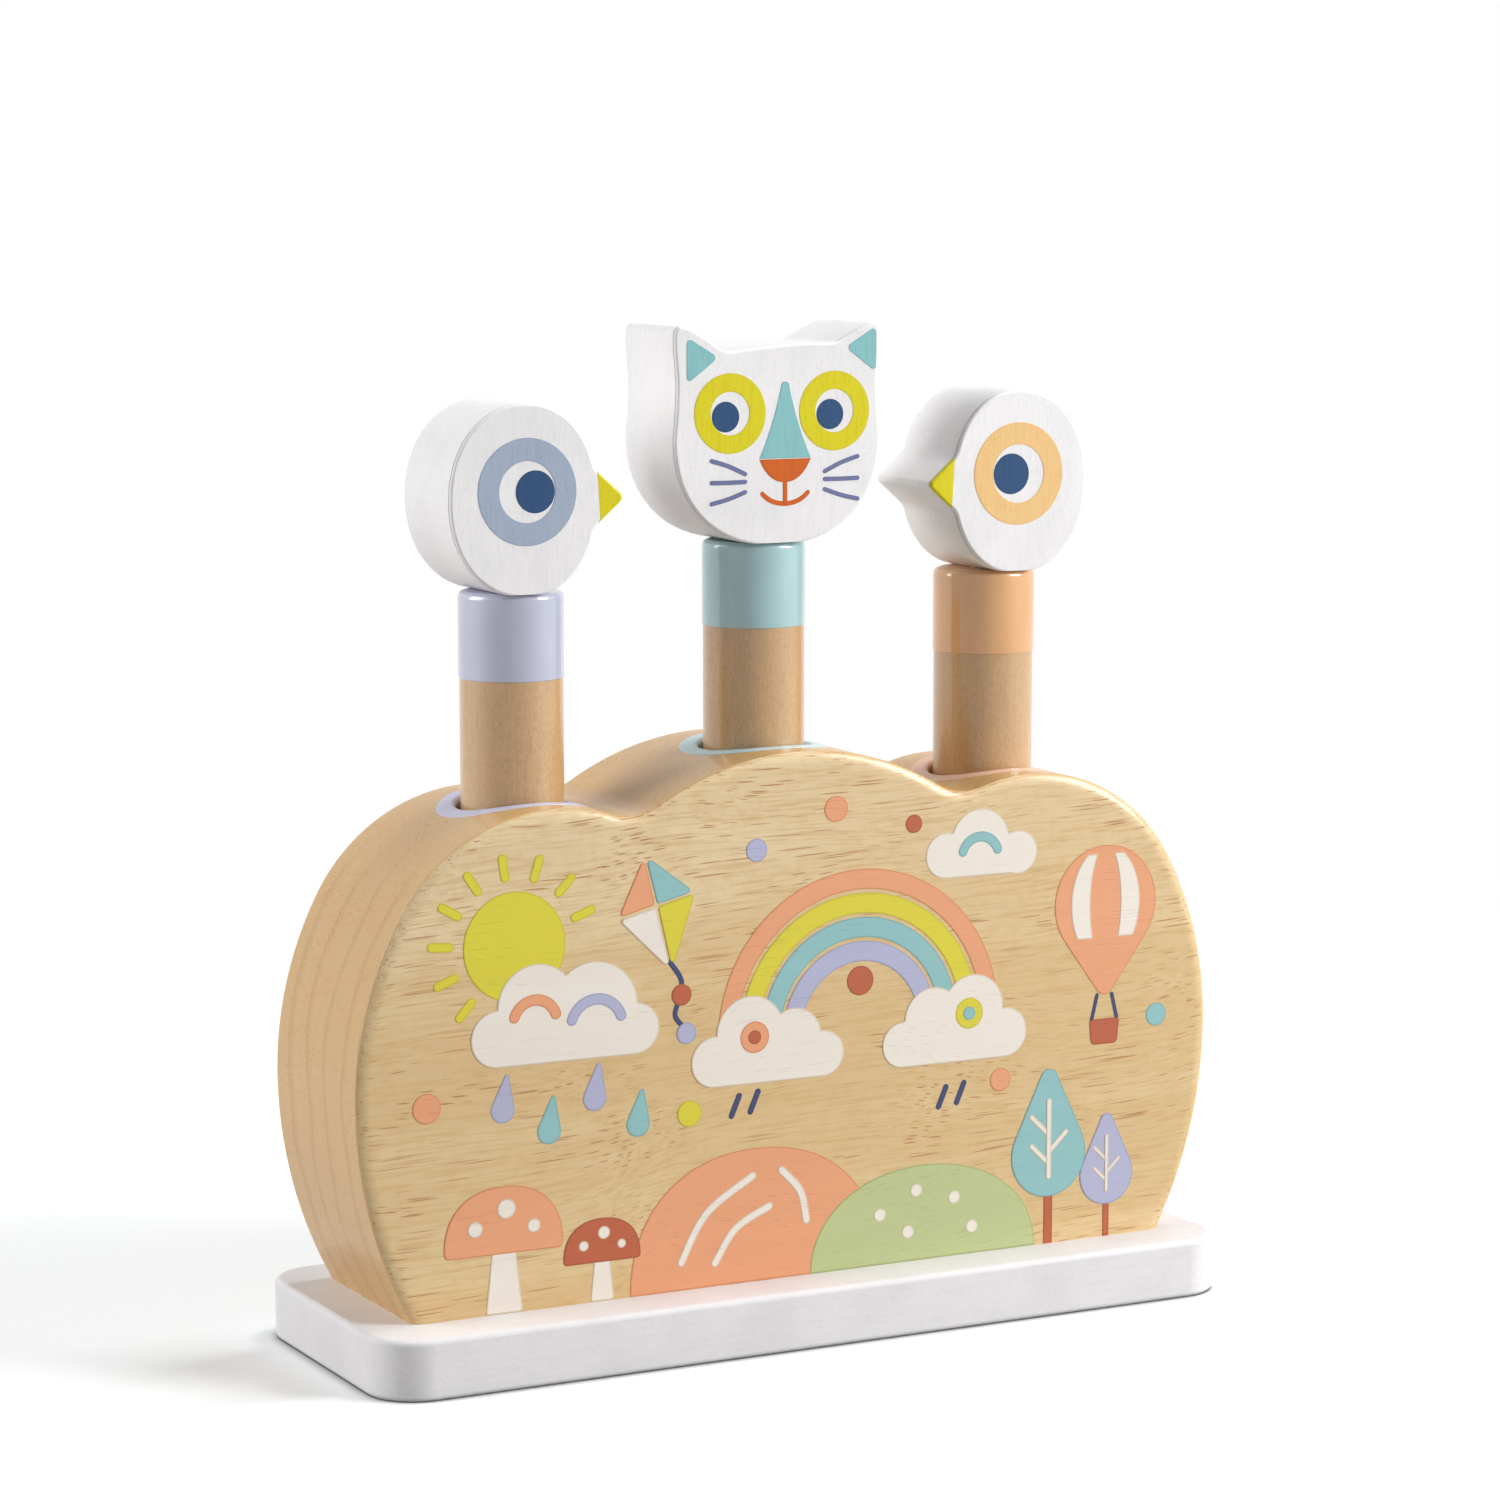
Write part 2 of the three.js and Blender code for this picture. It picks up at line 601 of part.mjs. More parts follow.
/** A stick with rounded rims and a blind hole for the neck pin in its top. */
function pegGeometry() {
  const upperRim = rimProfile(pegRadius, PEG_LENGTH, PEG_RIM_RADIUS);
  const lowerRim = rimProfile(pegRadius, 0, PEG_RIM_RADIUS).map(([radius, height]) => [radius, -height]);
  const holeRadius = pinRadius + FIT_GAP;
  return turned([
    [0, 0],
    ...lowerRim.reverse(),
    ...upperRim,
    [holeRadius, PEG_LENGTH],
    [holeRadius, PEG_LENGTH - PIN_DEPTH],
    [0, PEG_LENGTH - PIN_DEPTH],
  ]);
}

/** The lacquer on the peg's top end, which wraps over its rim. */
function bandGeometry() {
  const low = PEG_LENGTH - BAND_LENGTH;
  const inner = rimProfile(pegRadius, PEG_LENGTH, PEG_RIM_RADIUS);
  const outer = rimProfile(
    pegRadius + PAINT_THICKNESS,
    PEG_LENGTH + PAINT_THICKNESS,
    PEG_RIM_RADIUS + PAINT_THICKNESS,
  );
  return turnedRing([[pegRadius, low], ...inner, ...outer.reverse(), [pegRadius + PAINT_THICKNESS, low]]);
}

const headSeat = PEG_LENGTH + PAINT_THICKNESS;

function pinGeometry() {
  const low = PEG_LENGTH - PIN_DEPTH + FIT_GAP;
  const high = headSeat + PIN_DEPTH - FIT_GAP;
  return turned([
    [0, low],
    [pinRadius - PIN_CHAMFER, low],
    [pinRadius, low + PIN_CHAMFER],
    [pinRadius, high - PIN_CHAMFER],
    [pinRadius - PIN_CHAMFER, high],
    [0, high],
  ], SCREW_SEGMENTS);
}

// Heads, drawn round their own centres and lifted onto the pegs

/** Cuts a head's foot flat and bores it for the neck pin. */
function seatedHead(shape, drop) {
  const head = standingBoard(shape, HEAD_THICKNESS, HEAD_EDGE_RADIUS);
  const cutLevel = HEAD_SEAT_CUT - drop;
  const reach = 2 * (drop + CUT_OVERRUN);
  const below = new THREE.BoxGeometry(reach, reach, 2 * CUT_OVERRUN);
  below.translate(0, 0, cutLevel - CUT_OVERRUN);
  const hole = cylinder(pinRadius + FIT_GAP, cutLevel - CUT_OVERRUN, cutLevel + PIN_DEPTH, SCREW_SEGMENTS);
  return cutOut(head, [below, hole]).translate(0, 0, headCentre(drop));
}

const headCentre = (drop) => headSeat + drop - HEAD_SEAT_CUT;

/** One point of an oval whose power sets how full it is. */
function ovalPoint(halfWidth, halfHeight, power, angle) {
  const reach = (value) => Math.sign(value) * Math.abs(value) ** (2 / power);
  return point(halfWidth * reach(Math.cos(angle)), halfHeight * reach(Math.sin(angle)));
}

/** The bird's outline with its beak towards +X: the upper half, mirrored for the lower one. */
function birdShape(facing) {
  const blendShare = (BEAK_ROOT_HALF + BEAK_ROOT_BLEND) / BIRD_HALF_HEIGHT;
  const rootAngle = Math.asin(blendShare ** (BIRD_FRONT_POWER / 2));
  const upper = [];
  const steps = Math.ceil(Math.PI / 2 / ARC_STEP);
  for (let i = 0; i < steps; i += 1) {
    const angle = Math.PI - (Math.PI / 2) * (i / steps);
    upper.push(ovalPoint(BIRD_BACK_HALF, BIRD_HALF_HEIGHT, BIRD_BACK_POWER, angle));
  }
  for (let i = 0; i <= steps; i += 1) {
    const angle = Math.PI / 2 - (Math.PI / 2 - rootAngle) * (i / steps);
    upper.push(ovalPoint(BIRD_FRONT_HALF, BIRD_HALF_HEIGHT, BIRD_FRONT_POWER, angle));
  }
  const root = point(beakRootReach(), BEAK_ROOT_HALF);
  const tip = point(BEAK_TIP_REACH - BEAK_TIP_RADIUS, 0);
  const tipAngle = angleFrom(tip, root) - Math.acos(BEAK_TIP_RADIUS / tip.distanceTo(root));
  const tipPoints = coarseArc(tip, BEAK_TIP_RADIUS, tipAngle, -tipAngle);
  const onBeak = root.clone().lerp(tipPoints[0], BEAK_ROOT_BLEND / root.distanceTo(tipPoints[0]));
  const rootBlend = new THREE.QuadraticBezierCurve(upper[upper.length - 1], root, onBeak);
  upper.push(...rootBlend.getPoints(RIM_STEPS + 1).slice(1));
  const lower = upper.slice(1).reverse().map((p) => point(p.x, -p.y));
  const outline = [...upper, ...tipPoints, ...lower];
  return new THREE.Shape(outline.map((p) => point(facing * (p.x - BIRD_OVAL_SHIFT), p.y)));
}

/** How far from the oval's centre the beak leaves it. */
function beakRootReach() {
  const rise = (BEAK_ROOT_HALF / BIRD_HALF_HEIGHT) ** BIRD_FRONT_POWER;
  return BIRD_FRONT_HALF * (1 - rise) ** (1 / BIRD_FRONT_POWER);
}

/** The cat's outline: a smooth line over both ears and the crown, and the half oval of the chin. */
function catShape() {
  const placed = (shares) => shares.map(([x, y]) => point(x * CAT_HALF_WIDTH, y * CAT_EAR_RISE));
  const right = placed([...CAT_SIDE_SHARES, ...CAT_RIGHT_CROWN_SHARES]);
  const left = placed([...CAT_SIDE_SHARES, ...CAT_LEFT_CROWN_SHARES]);
  const top = new THREE.SplineCurve([...right, ...mirrored(left)]).getPoints(CROWN_STEPS);
  const chin = [];
  const steps = Math.ceil(Math.PI / ARC_STEP);
  for (let i = 1; i < steps; i += 1) {
    const angle = Math.PI + (Math.PI * i) / steps;
    chin.push(ovalPoint(CAT_HALF_WIDTH, CAT_CHIN_DROP, CAT_CHIN_POWER, angle));
  }
  return new THREE.Shape([...top, ...chin].map((p) => point(p.x + CAT_OUTLINE_SHIFT, p.y)));
}

// Printed faces

const circlePoints = (radius) => arcPoints(point(0, 0), radius, 0, 2 * Math.PI, PRINT_ARC_STEP).slice(1);
const discShape = (radius) => new THREE.Shape(circlePoints(radius));

function ringShape(outer, inner) {
  const shape = discShape(outer);
  shape.holes.push(new THREE.Path(circlePoints(inner)));
  return shape;
}

/** A triangle whose corners are rounded by a share of its sides. */
function softTriangle(corners, roundShare) {
  const outline = corners.flatMap((corner, i) => {
    const before = corners[(i + 2) % 3].clone().lerp(corner, 1 - roundShare);
    const after = corner.clone().lerp(corners[(i + 1) % 3], roundShare);
    return new THREE.QuadraticBezierCurve(before, corner, after).getPoints(RIM_STEPS);
  });
  return new THREE.Shape(outline);
}

/** A straight line of ink with round ends. */
function strokeShape(from, to, width) {
  const heading = Math.atan2(to.y - from.y, to.x - from.x);
  const half = width / 2;
  return new THREE.Shape([
    ...coarseArc(to, half, heading - Math.PI / 2, heading + Math.PI / 2),
    ...coarseArc(from, half, heading + Math.PI / 2, heading + 1.5 * Math.PI),
  ]);
}

/** Nose, the line below it and the mouth's curve, as one outline. */
function noseAndMouthShape() {
  const half = CAT_LINE_WIDTH / 2;
  const noseTop = -CAT_NOSE_DROP;
  const noseLow = noseTop - CAT_NOSE_DEPTH;
  const noseSide = new THREE.QuadraticBezierCurve(
    point(CAT_NOSE_HALF_WIDTH, noseTop),
    point(CAT_NOSE_HALF_WIDTH * CAT_NOSE_KNEE_SHARE, noseLow),
    point(half, noseLow),
  );
  const mouthUpper = new THREE.QuadraticBezierCurve(
    point(half, half - CAT_MOUTH_DROP),
    point(CAT_MOUTH_HALF_WIDTH / 2 + half, half - CAT_MOUTH_DROP),
    point(CAT_MOUTH_HALF_WIDTH - half, -CAT_MOUTH_CORNER_DROP),
  );
  const corner = point(CAT_MOUTH_HALF_WIDTH, -CAT_MOUTH_CORNER_DROP);
  const mouthLower = new THREE.QuadraticBezierCurve(
    point(CAT_MOUTH_HALF_WIDTH + half, -CAT_MOUTH_CORNER_DROP - half),
    point(CAT_MOUTH_HALF_WIDTH / 2 + half, -half - CAT_MOUTH_DROP),
    point(0, -half - CAT_MOUTH_DROP),
  );
  const right = [
    ...noseSide.getPoints(PRINT_STEPS),
    ...mouthUpper.getPoints(PRINT_STEPS),
    ...coarseArc(corner, half, Math.PI * 0.75, -Math.PI * 0.25).slice(1, -1),
    ...mouthLower.getPoints(PRINT_STEPS),
  ];
  return new THREE.Shape([...right, ...mirrored(right).slice(1)]);
}

function bridgeShape() {
  const foot = -CAT_NOSE_DROP;
  const tip = point(0, CAT_BRIDGE_TOP - CAT_BRIDGE_TIP_RADIUS);
  const side = new THREE.QuadraticBezierCurve(
    point(CAT_NOSE_HALF_WIDTH, foot),
    point(CAT_NOSE_HALF_WIDTH * CAT_BRIDGE_WAIST_SHARE, CAT_BRIDGE_TOP / 4),
    point(CAT_BRIDGE_TIP_RADIUS, tip.y),
  );
  const right = side.getPoints(PRINT_STEPS);
  const cap = coarseArc(tip, CAT_BRIDGE_TIP_RADIUS, 0, Math.PI).slice(1, -1);
  return new THREE.Shape([...right, ...cap, ...mirrored(right)]);
}

/** The yellow on the front of the beak, kept inside the head's rounded edge. */
function beakShape(facing) {
  const root = beakRootReach() - BIRD_OVAL_SHIFT + BEAK_PRINT_SETBACK;
  const tip = BEAK_TIP_REACH - BIRD_OVAL_SHIFT - HEAD_EDGE_RADIUS;
  const half = BEAK_ROOT_HALF - BEAK_PRINT_SETBACK - 1.5 * HEAD_EDGE_RADIUS;
  return softTriangle([
    point(facing * root, half),
    point(facing * tip, 0),
    point(facing * root, -half),
  ], PATCH_ROUND_SHARE);
}

// Assembly

const toy = new THREE.Group();

function add(parent, name, geometry, material) {
  const mesh = new THREE.Mesh(geometry, MATERIALS[material]);
  mesh.name = name;
  parent.add(mesh);
  return mesh;
}

function groupAt(parent, x, y, z) {
  const group = new THREE.Group();
  group.position.set(x, y, z);
  parent.add(group);
  return group;
}

function addBirdHead(peg, side, facing, ringInk) {
  add(peg, `${side}_bird_head`, seatedHead(birdShape(facing), BIRD_HALF_HEIGHT), 'whitePaint');
  const beak = point(0, headCentre(BIRD_HALF_HEIGHT));
  const eye = point(facing * (BIRD_RING_SHIFT - BIRD_OVAL_SHIFT), beak.y + BIRD_RING_RISE);
  const pupil = point(eye.x + facing * BIRD_PUPIL_SHIFT, eye.y);
  add(peg, `${side}_bird_eye_ring`, print(ringShape(BIRD_RING_RADIUS, BIRD_WHITE_RADIUS), eye), ringInk);
  add(peg, `${side}_bird_pupil`, print(discShape(BIRD_PUPIL_RADIUS), pupil), 'navyInk');
  add(peg, `${side}_bird_beak_print`, print(beakShape(facing), beak), 'limeInk');
}

function addCatHead(peg) {
  add(peg, 'centre_cat_head', seatedHead(catShape(), CAT_CHIN_DROP), 'whitePaint');
  const centre = headCentre(CAT_CHIN_DROP);
  const muzzle = point(CAT_NOSE_SHIFT, centre);
  const noseDown = point(muzzle.x, muzzle.y - FIT_GAP);
  add(peg, 'cat_nose_bridge', print(bridgeShape(), muzzle), 'turquoiseInk');
  add(peg, 'cat_nose_and_mouth', print(noseAndMouthShape(), noseDown), 'orangeInk');
  [['left', -1], ['right', 1]].forEach(([hand, sign]) => {
    const eye = point(CAT_EYE_SHIFT + sign * CAT_EYE_SPREAD, centre + CAT_EYE_RISE);
    const pupil = point(eye.x - CAT_PUPIL_SHIFT, eye.y - CAT_PUPIL_DROP);
    const ear = point(CAT_EYE_SHIFT, centre + sign * CAT_EAR_PATCH_OFFSET);
    const patch = softTriangle([
      point(sign * CAT_EAR_PATCH_OUTER, CAT_EAR_PATCH_TOP),
      point(sign * CAT_EAR_PATCH_INNER, CAT_EAR_PATCH_CORNER),
      point(sign * CAT_EAR_PATCH_OUTER, CAT_EAR_PATCH_FOOT),
    ], PATCH_ROUND_SHARE);
    add(peg, `cat_${hand}_eye_ring`, print(ringShape(CAT_RING_RADIUS, CAT_WHITE_RADIUS), eye), 'limeInk');
    add(peg, `cat_${hand}_pupil`, print(discShape(CAT_PUPIL_RADIUS), pupil), 'navyInk');
    add(peg, `cat_${hand}_ear_patch`, print(patch, ear), 'turquoiseInk');
    WHISKER_INNER_DROPS.forEach((drop, i) => {
      const whisker = strokeShape(
        point(sign * WHISKER_INNER, -drop),
        point(sign * WHISKER_OUTER, -WHISKER_OUTER_DROPS[i]),
        WHISKER_WIDTH,
      );
      add(peg, `cat_${hand}_whisker_${i + 1}`, print(whisker, muzzle), 'violetInk');
    });
  });
}

function addStation(station) {
  const { side, x, top, band, ring } = station;
  const floor = top - boreDepth;
  add(toy, `${side}_mouth_ring`, mouthRingGeometry(station), ring);
  const well = groupAt(toy, x, 0, floor);
  add(well, `${side}_spring_seat`, seatGeometry(), 'cupPlastic');
  add(well, `${side}_seat_screw`, seatScrewGeometry(), 'screwZinc').position.z = SEAT_THICKNESS;
  add(well, `${side}_spring`, springGeometry(), 'springSteel').position.z = SEAT_THICKNESS;
  add(well, `${side}_spring_cap`, capGeometry(), 'cupPlastic').position.z = SEAT_THICKNESS + springLength;
  const peg = groupAt(toy, x, 0, top - pegDepth);
  add(peg, `${side}_peg`, pegGeometry(), 'pegWood');
  add(peg, `${side}_peg_band`, bandGeometry(), band);
  add(peg, `${side}_neck_pin`, pinGeometry(), 'pinWood');
  return peg;
}

add(toy, 'base_board', boardGeometry(), 'whitePaint');
add(toy, 'cloud_block', blockGeometry(), 'blockWood');
BOARD_SCREW_PLACES.forEach((place, i) => {
  add(toy, `board_screw_${i + 1}`, boardScrewGeometry(), 'screwZinc').position.x = place;
});
const [leftPeg, centrePeg, rightPeg] = STATIONS.map(addStation);
addBirdHead(leftPeg, 'left', 1, 'greyBlueInk');
addCatHead(centrePeg);
addBirdHead(rightPeg, 'right', -1, 'peachInk');

console.log(`least gap between spring coils: ${leastCoilGap().toFixed(2)} mm`);

export default toy;
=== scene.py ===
"""Pop up animal toy: painted heads on sprung pegs, which stand in the bores of a cloud-shaped wooden block.

The classes hold millimetres and the meshes are made in metres. X runs along the front, which faces -Y, and Z
is up. Each sub-assembly is a class with its sizes as fields, and each finish is a class that makes its own
material.
"""

import logging
import math
from collections.abc import Sequence
from dataclasses import dataclass
from enum import Enum, StrEnum

import bmesh
import bpy
import numpy as np
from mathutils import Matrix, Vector

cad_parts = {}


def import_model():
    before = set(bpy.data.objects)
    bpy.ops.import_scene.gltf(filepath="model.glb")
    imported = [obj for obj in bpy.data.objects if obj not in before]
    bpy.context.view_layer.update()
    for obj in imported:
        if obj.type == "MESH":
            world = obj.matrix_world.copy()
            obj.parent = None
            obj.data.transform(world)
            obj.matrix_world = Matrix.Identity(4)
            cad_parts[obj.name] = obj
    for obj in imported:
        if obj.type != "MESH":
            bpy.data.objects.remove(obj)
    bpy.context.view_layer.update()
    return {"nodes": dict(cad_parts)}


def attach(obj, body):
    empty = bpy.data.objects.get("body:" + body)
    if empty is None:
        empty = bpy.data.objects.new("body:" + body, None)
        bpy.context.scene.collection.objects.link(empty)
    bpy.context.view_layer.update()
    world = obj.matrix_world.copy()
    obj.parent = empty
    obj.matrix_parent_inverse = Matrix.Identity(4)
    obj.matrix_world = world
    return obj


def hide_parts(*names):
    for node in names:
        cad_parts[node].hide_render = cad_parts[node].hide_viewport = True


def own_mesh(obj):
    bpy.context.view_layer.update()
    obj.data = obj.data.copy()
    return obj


Points = np.ndarray
Tree = bpy.types.NodeTree
Node = bpy.types.Node
Socket = bpy.types.NodeSocket
Piece = bpy.types.Object
Size = tuple[float, float, float]

LOG = logging.getLogger("toy")
MM = 0.001
WELD = 1e-7
CREASE = math.radians(35)


# Outlines: points of a closed line in a plane, as rows of two numbers


def arc(centre: Sequence[float], radius: float, start: float, end: float, steps: int) -> Points:
    """Points of a circle's arc: centre + radius * (cos a, sin a), for angles a evenly spaced.

    Args:
        centre: the circle's centre.
        radius: its radius.
        start: the first angle, in radians.
        end: the last angle, in radians.
        steps: how many steps the arc is divided in.

    Returns:
        One row more than there are steps.
    """
    angle = np.linspace(start, end, steps + 1)
    return np.asarray(centre) + radius * np.stack([np.cos(angle), np.sin(angle)], axis=-1)


def circle(centre: Sequence[float], radius: float, steps: int = 72) -> Points:
    """A closed circle, counterclockwise, whose last point isn't its first again.

    Args:
        centre: the circle's centre.
        radius: its radius.
        steps: how many points it has.

    Returns:
        The outline.
    """
    return arc(centre, radius, 0, 2 * math.pi, steps)[:-1]


def oval(half_width: float, half_height: float, power: float, start: float, end: float, steps: int) -> Points:
    """Points of an oval: each coordinate is its half size times the signed 2 / power'th power of cos or sin.

    Args:
        half_width: half its width.
        half_height: half its height.
        power: 2 for an ellipse, more for a fuller oval.
        start: the first angle, in radians.
        end: the last angle, in radians.
        steps: how many steps it is divided in.

    Returns:
        One row more than there are steps.
    """
    angle = np.linspace(start, end, steps + 1)
    round_part = np.stack([np.cos(angle), np.sin(angle)], axis=-1)
    return np.array([half_width, half_height]) * np.sign(round_part) * np.abs(round_part) ** (2 / power)


def hull(a: Sequence[float], radius_a: float, b: Sequence[float], radius_b: float, steps: int = 24) -> Points:
    """The line round two discs and the straight sides that touch both, such as a drop, a stick or a leaf.

    The sides touch the discs at the angle from the way a to b whose cosine is
    (radius_a - radius_b) / distance.

    Args:
        a: the first disc's centre.
        radius_a: its radius.
        b: the second disc's centre.
        radius_b: its radius.
        steps: how many steps each disc's arc is divided in.

    Returns:
        The outline, counterclockwise.
    """
    way = np.subtract(b, a)
    heading = math.atan2(way[1], way[0])
    spread = math.acos((radius_a - radius_b) / math.hypot(*way))
    far = arc(b, radius_b, heading - spread, heading + spread, steps)
    near = arc(a, radius_a, heading + spread, heading - spread + 2 * math.pi, steps)
    return np.vstack([far, near])


def smooth_path(knots: Sequence[Sequence[float]], steps: int = 8) -> Points:
    """A curve through knots: between two of them, the cubic whose slopes are half the way past each knot.

    Args:
        knots: the points that it goes through.
        steps: how many steps there are from a knot to the next.

    Returns:
        The points of the curve, both ends included.
    """
    knot = np.asarray(knots, float)
    padded = np.vstack([knot[:1], knot, knot[-1:]])
    slope = (padded[2:] - padded[:-2]) / 2
    t = np.arange(steps)[None, :, None] / steps
    a, b = knot[:-1, None], knot[1:, None]
    slope_a, slope_b = slope[:-1, None], slope[1:, None]
    curve = (
        a * (2 * t**3 - 3 * t**2 + 1)
        + b * (3 * t**2 - 2 * t**3)
        + slope_a * (t**3 - 2 * t**2 + t)
        + slope_b * (t**3 - t**2)
    )
    return np.vstack([curve.reshape(-1, knot.shape[1]), knot[-1:]])


def ribbon(path: Points, width: float) -> Points:
    """The line round a stroke: a path moved half its width to both sides, with half circles at its ends.

    Args:
        path: the stroke's middle line.
        width: its width.

    Returns:
        The outline, counterclockwise.
    """
    half = width / 2
    slope = np.gradient(path, axis=0)
    way = np.arctan2(slope[:, 1], slope[:, 0])
    side = half * np.stack([-np.sin(way), np.cos(way)], axis=-1)
    quarter = math.pi / 2
    end = arc(path[-1], half, way[-1] - quarter, way[-1] + quarter, 8)[1:-1]
    start = arc(path[0], half, way[0] + quarter, way[0] + 3 * quarter, 8)[1:-1]
    return np.vstack([path - side, end, (path + side)[::-1], start])


def puffs(middle: Sequence[float], discs: Sequence[Size], foot: float) -> Points:
    """The line round a heap of discs that stand on a level foot, as seen from a point in their middle.

    Along a ray from the middle, a disc ends at d.c + sqrt(r^2 - c.c + (d.c)^2), for a ray's direction d and
    the disc's centre c and radius r. The block below the discs' centres ends at its nearest side. Of these
    ends the farthest counts.

    Args:
        middle: a point inside the heap, from which all of it is seen.
        discs: each disc's centre and radius.
        foot: the height of the foot, which the outer discs touch.

    Returns:
        The outline, counterclockwise.
    """
    angle = np.radians(np.arange(0, 360, 1.5))
    ray = np.stack([np.cos(angle), np.sin(angle)], axis=-1)
    disc = np.asarray(discs, float)
    centre = disc[:, :2] - middle
    along = ray @ centre.T
    room = disc[:, 2] ** 2 - (centre**2).sum(axis=1) + along**2
    reach = np.where(room > 0, along + np.sqrt(np.maximum(room, 0)), 0)
    left, right = centre[:, 0].min(), centre[:, 0].max()
    low, high = foot - middle[1], 0.0
    sides = np.where(ray[:, 0] > 0, right, left) / np.where(np.abs(ray[:, 0]) < 1e-9, 1e-9, ray[:, 0])
    floor = np.where(ray[:, 1] < -1e-9, low, high) / np.where(ray[:, 1] < -1e-9, ray[:, 1], 1.0)
    inside = np.minimum(np.abs(sides), np.abs(floor))
    return np.asarray(middle) + ray * np.maximum(reach.max(axis=1), inside)[:, None]


def rounded(corners: Sequence[Size], steps: int = 5, closed: bool = True) -> Points:
    """A line through corners, each of which is rounded by an arc that touches both of its sides.

    An arc of radius r in a corner of angle w has its centre at r / sin(w / 2) along the corner's halving
    line.

    Args:
        corners: each corner's two coordinates and radius, counterclockwise. An open line's ends stay sharp.
        steps: how many steps each arc is divided in.
        closed: whether the last corner joins the first.

    Returns:
        The points of the line.
    """
    rows = []
    count = len(corners)
    for i, (x, y, radius) in enumerate(corners):
        corner = np.array([x, y], float)
        if radius == 0 or (not closed and i in (0, count - 1)):
            rows.append(corner[None])
            continue
        ways = [np.subtract(corners[(i + side) % count][:2], corner) for side in (-1, 1)]
        a, b = (way / np.linalg.norm(way) for way in ways)
        half = math.acos(float(np.clip(a @ b, -1, 1))) / 2
        centre = corner + (a + b) / np.linalg.norm(a + b) * radius / math.sin(half)
        first, last = (corner + side * radius / math.tan(half) - centre for side in (a, b))
        start = math.atan2(first[1], first[0])
        turn = math.remainder(math.atan2(last[1], last[0]) - start, 2 * math.pi)
        rows.append(arc(centre, radius, start, start + turn, steps))
    return np.vstack(rows)


def counterclockwise(loop: Points) -> Points:
    """Turns a closed line round if its area, half the sum of x * y' - x' * y, is below zero.

    Args:
        loop: the outline.

    Returns:
        The outline, counterclockwise.
    """
    ahead = np.roll(loop, -1, axis=0)
    area = (loop[:, 0] * ahead[:, 1] - ahead[:, 0] * loop[:, 1]).sum()
    return loop if area > 0 else loop[::-1]


def inward(loop: Points, distance: float) -> Points:
    """Moves a counterclockwise closed line inwards along the halving lines of its corners.

    Args:
        loop: the outline.
        distance: how far its sides move.

    Returns:
        As many points as before.
    """
    ahead = np.roll(loop, -1, axis=0) - loop
    ahead /= np.linalg.norm(ahead, axis=1, keepdims=True)
    normal = np.stack([-ahead[:, 1], ahead[:, 0]], axis=-1)
    halving = normal + np.roll(normal, 1, axis=0)
    halving /= np.maximum(np.linalg.norm(halving, axis=1, keepdims=True), 1e-9)
    slant = np.maximum((halving * normal).sum(axis=1, keepdims=True), 0.6)
    return loop + halving * distance / slant


def edge_profile(thickness: float, inset: float, depth: float, steps: int, strips: int) -> Points:
    """The edge of a board from front to back, as rows of how far it lies inside the outline and its depth.

    A rounded edge is a quarter of an ellipse, (inset * (1 - sin a), depth * (1 - cos a)), and strips divide
    the flat edge between two of them.

    Args:
        thickness: the board's thickness.
        inset: how far the rounded edge reaches onto the front.
        depth: how far it reaches back along the board's thickness.
        steps: how many steps each rounded edge is divided in.
        strips: how many strips the flat part of the edge is divided in.

    Returns:
        Rows of inset and depth, from 0 to the thickness.
    """
    angle = np.linspace(0, math.pi / 2, steps + 1)
    front = np.stack([inset * (1 - np.sin(angle)), depth * (1 - np.cos(angle))], axis=-1)
    flat = np.linspace(depth, thickness - depth, strips + 1)[1:-1]
    back = front[::-1] * [1, -1] + [0, thickness]
    return np.vstack([front, np.stack([np.zeros_like(flat), flat], axis=-1), back])


# Surfaces


def turned(profile: Points, place: Sequence[float] = (0, 0, 0), segments: int = 96) -> Points:
    """Turns a profile round an upright axis: (r cos a, r sin a, z) for each profile point and angle.

    Args:
        profile: rows of radius and height.
        place: where the axis stands and from where heights count.
        segments: how many angles there are.

    Returns:
        A grid of profile points by angles, whose last column joins the first.
    """
    angle = np.arange(segments) * 2 * math.pi / segments
    radius, height = profile[:, :1], profile[:, 1:]
    flat = [radius * np.cos(angle), radius * np.sin(angle), height + 0 * angle]
    return np.stack(flat, axis=-1) + np.asarray(place)


def wire(path: Points, radius: float, sides: int) -> Points:
    """Carries a circle along a path round the Z axis: path + radius * (cos a * outward + sin a * sideways).

    Outward is the way from the Z axis through the point, made square to the path, and sideways is square to
    both.

    Args:
        path: the wire's middle line.
        radius: the wire's radius.
        sides: how many angles the circle has.

    Returns:
        A grid of path points by angles, whose last column joins the first.
    """
    slope = np.gradient(path, axis=0)
    slope /= np.linalg.norm(slope, axis=1, keepdims=True)
    outward = path * [1, 1, 0]
    outward -= (outward * slope).sum(axis=1, keepdims=True) * slope
    outward /= np.linalg.norm(outward, axis=1, keepdims=True)
    sideways = np.cross(slope, outward)
    angle = np.arange(sides)[:, None] * 2 * math.pi / sides
    ring = np.cos(angle) * outward[:, None] + np.sin(angle) * sideways[:, None]
    return path[:, None] + radius * ring


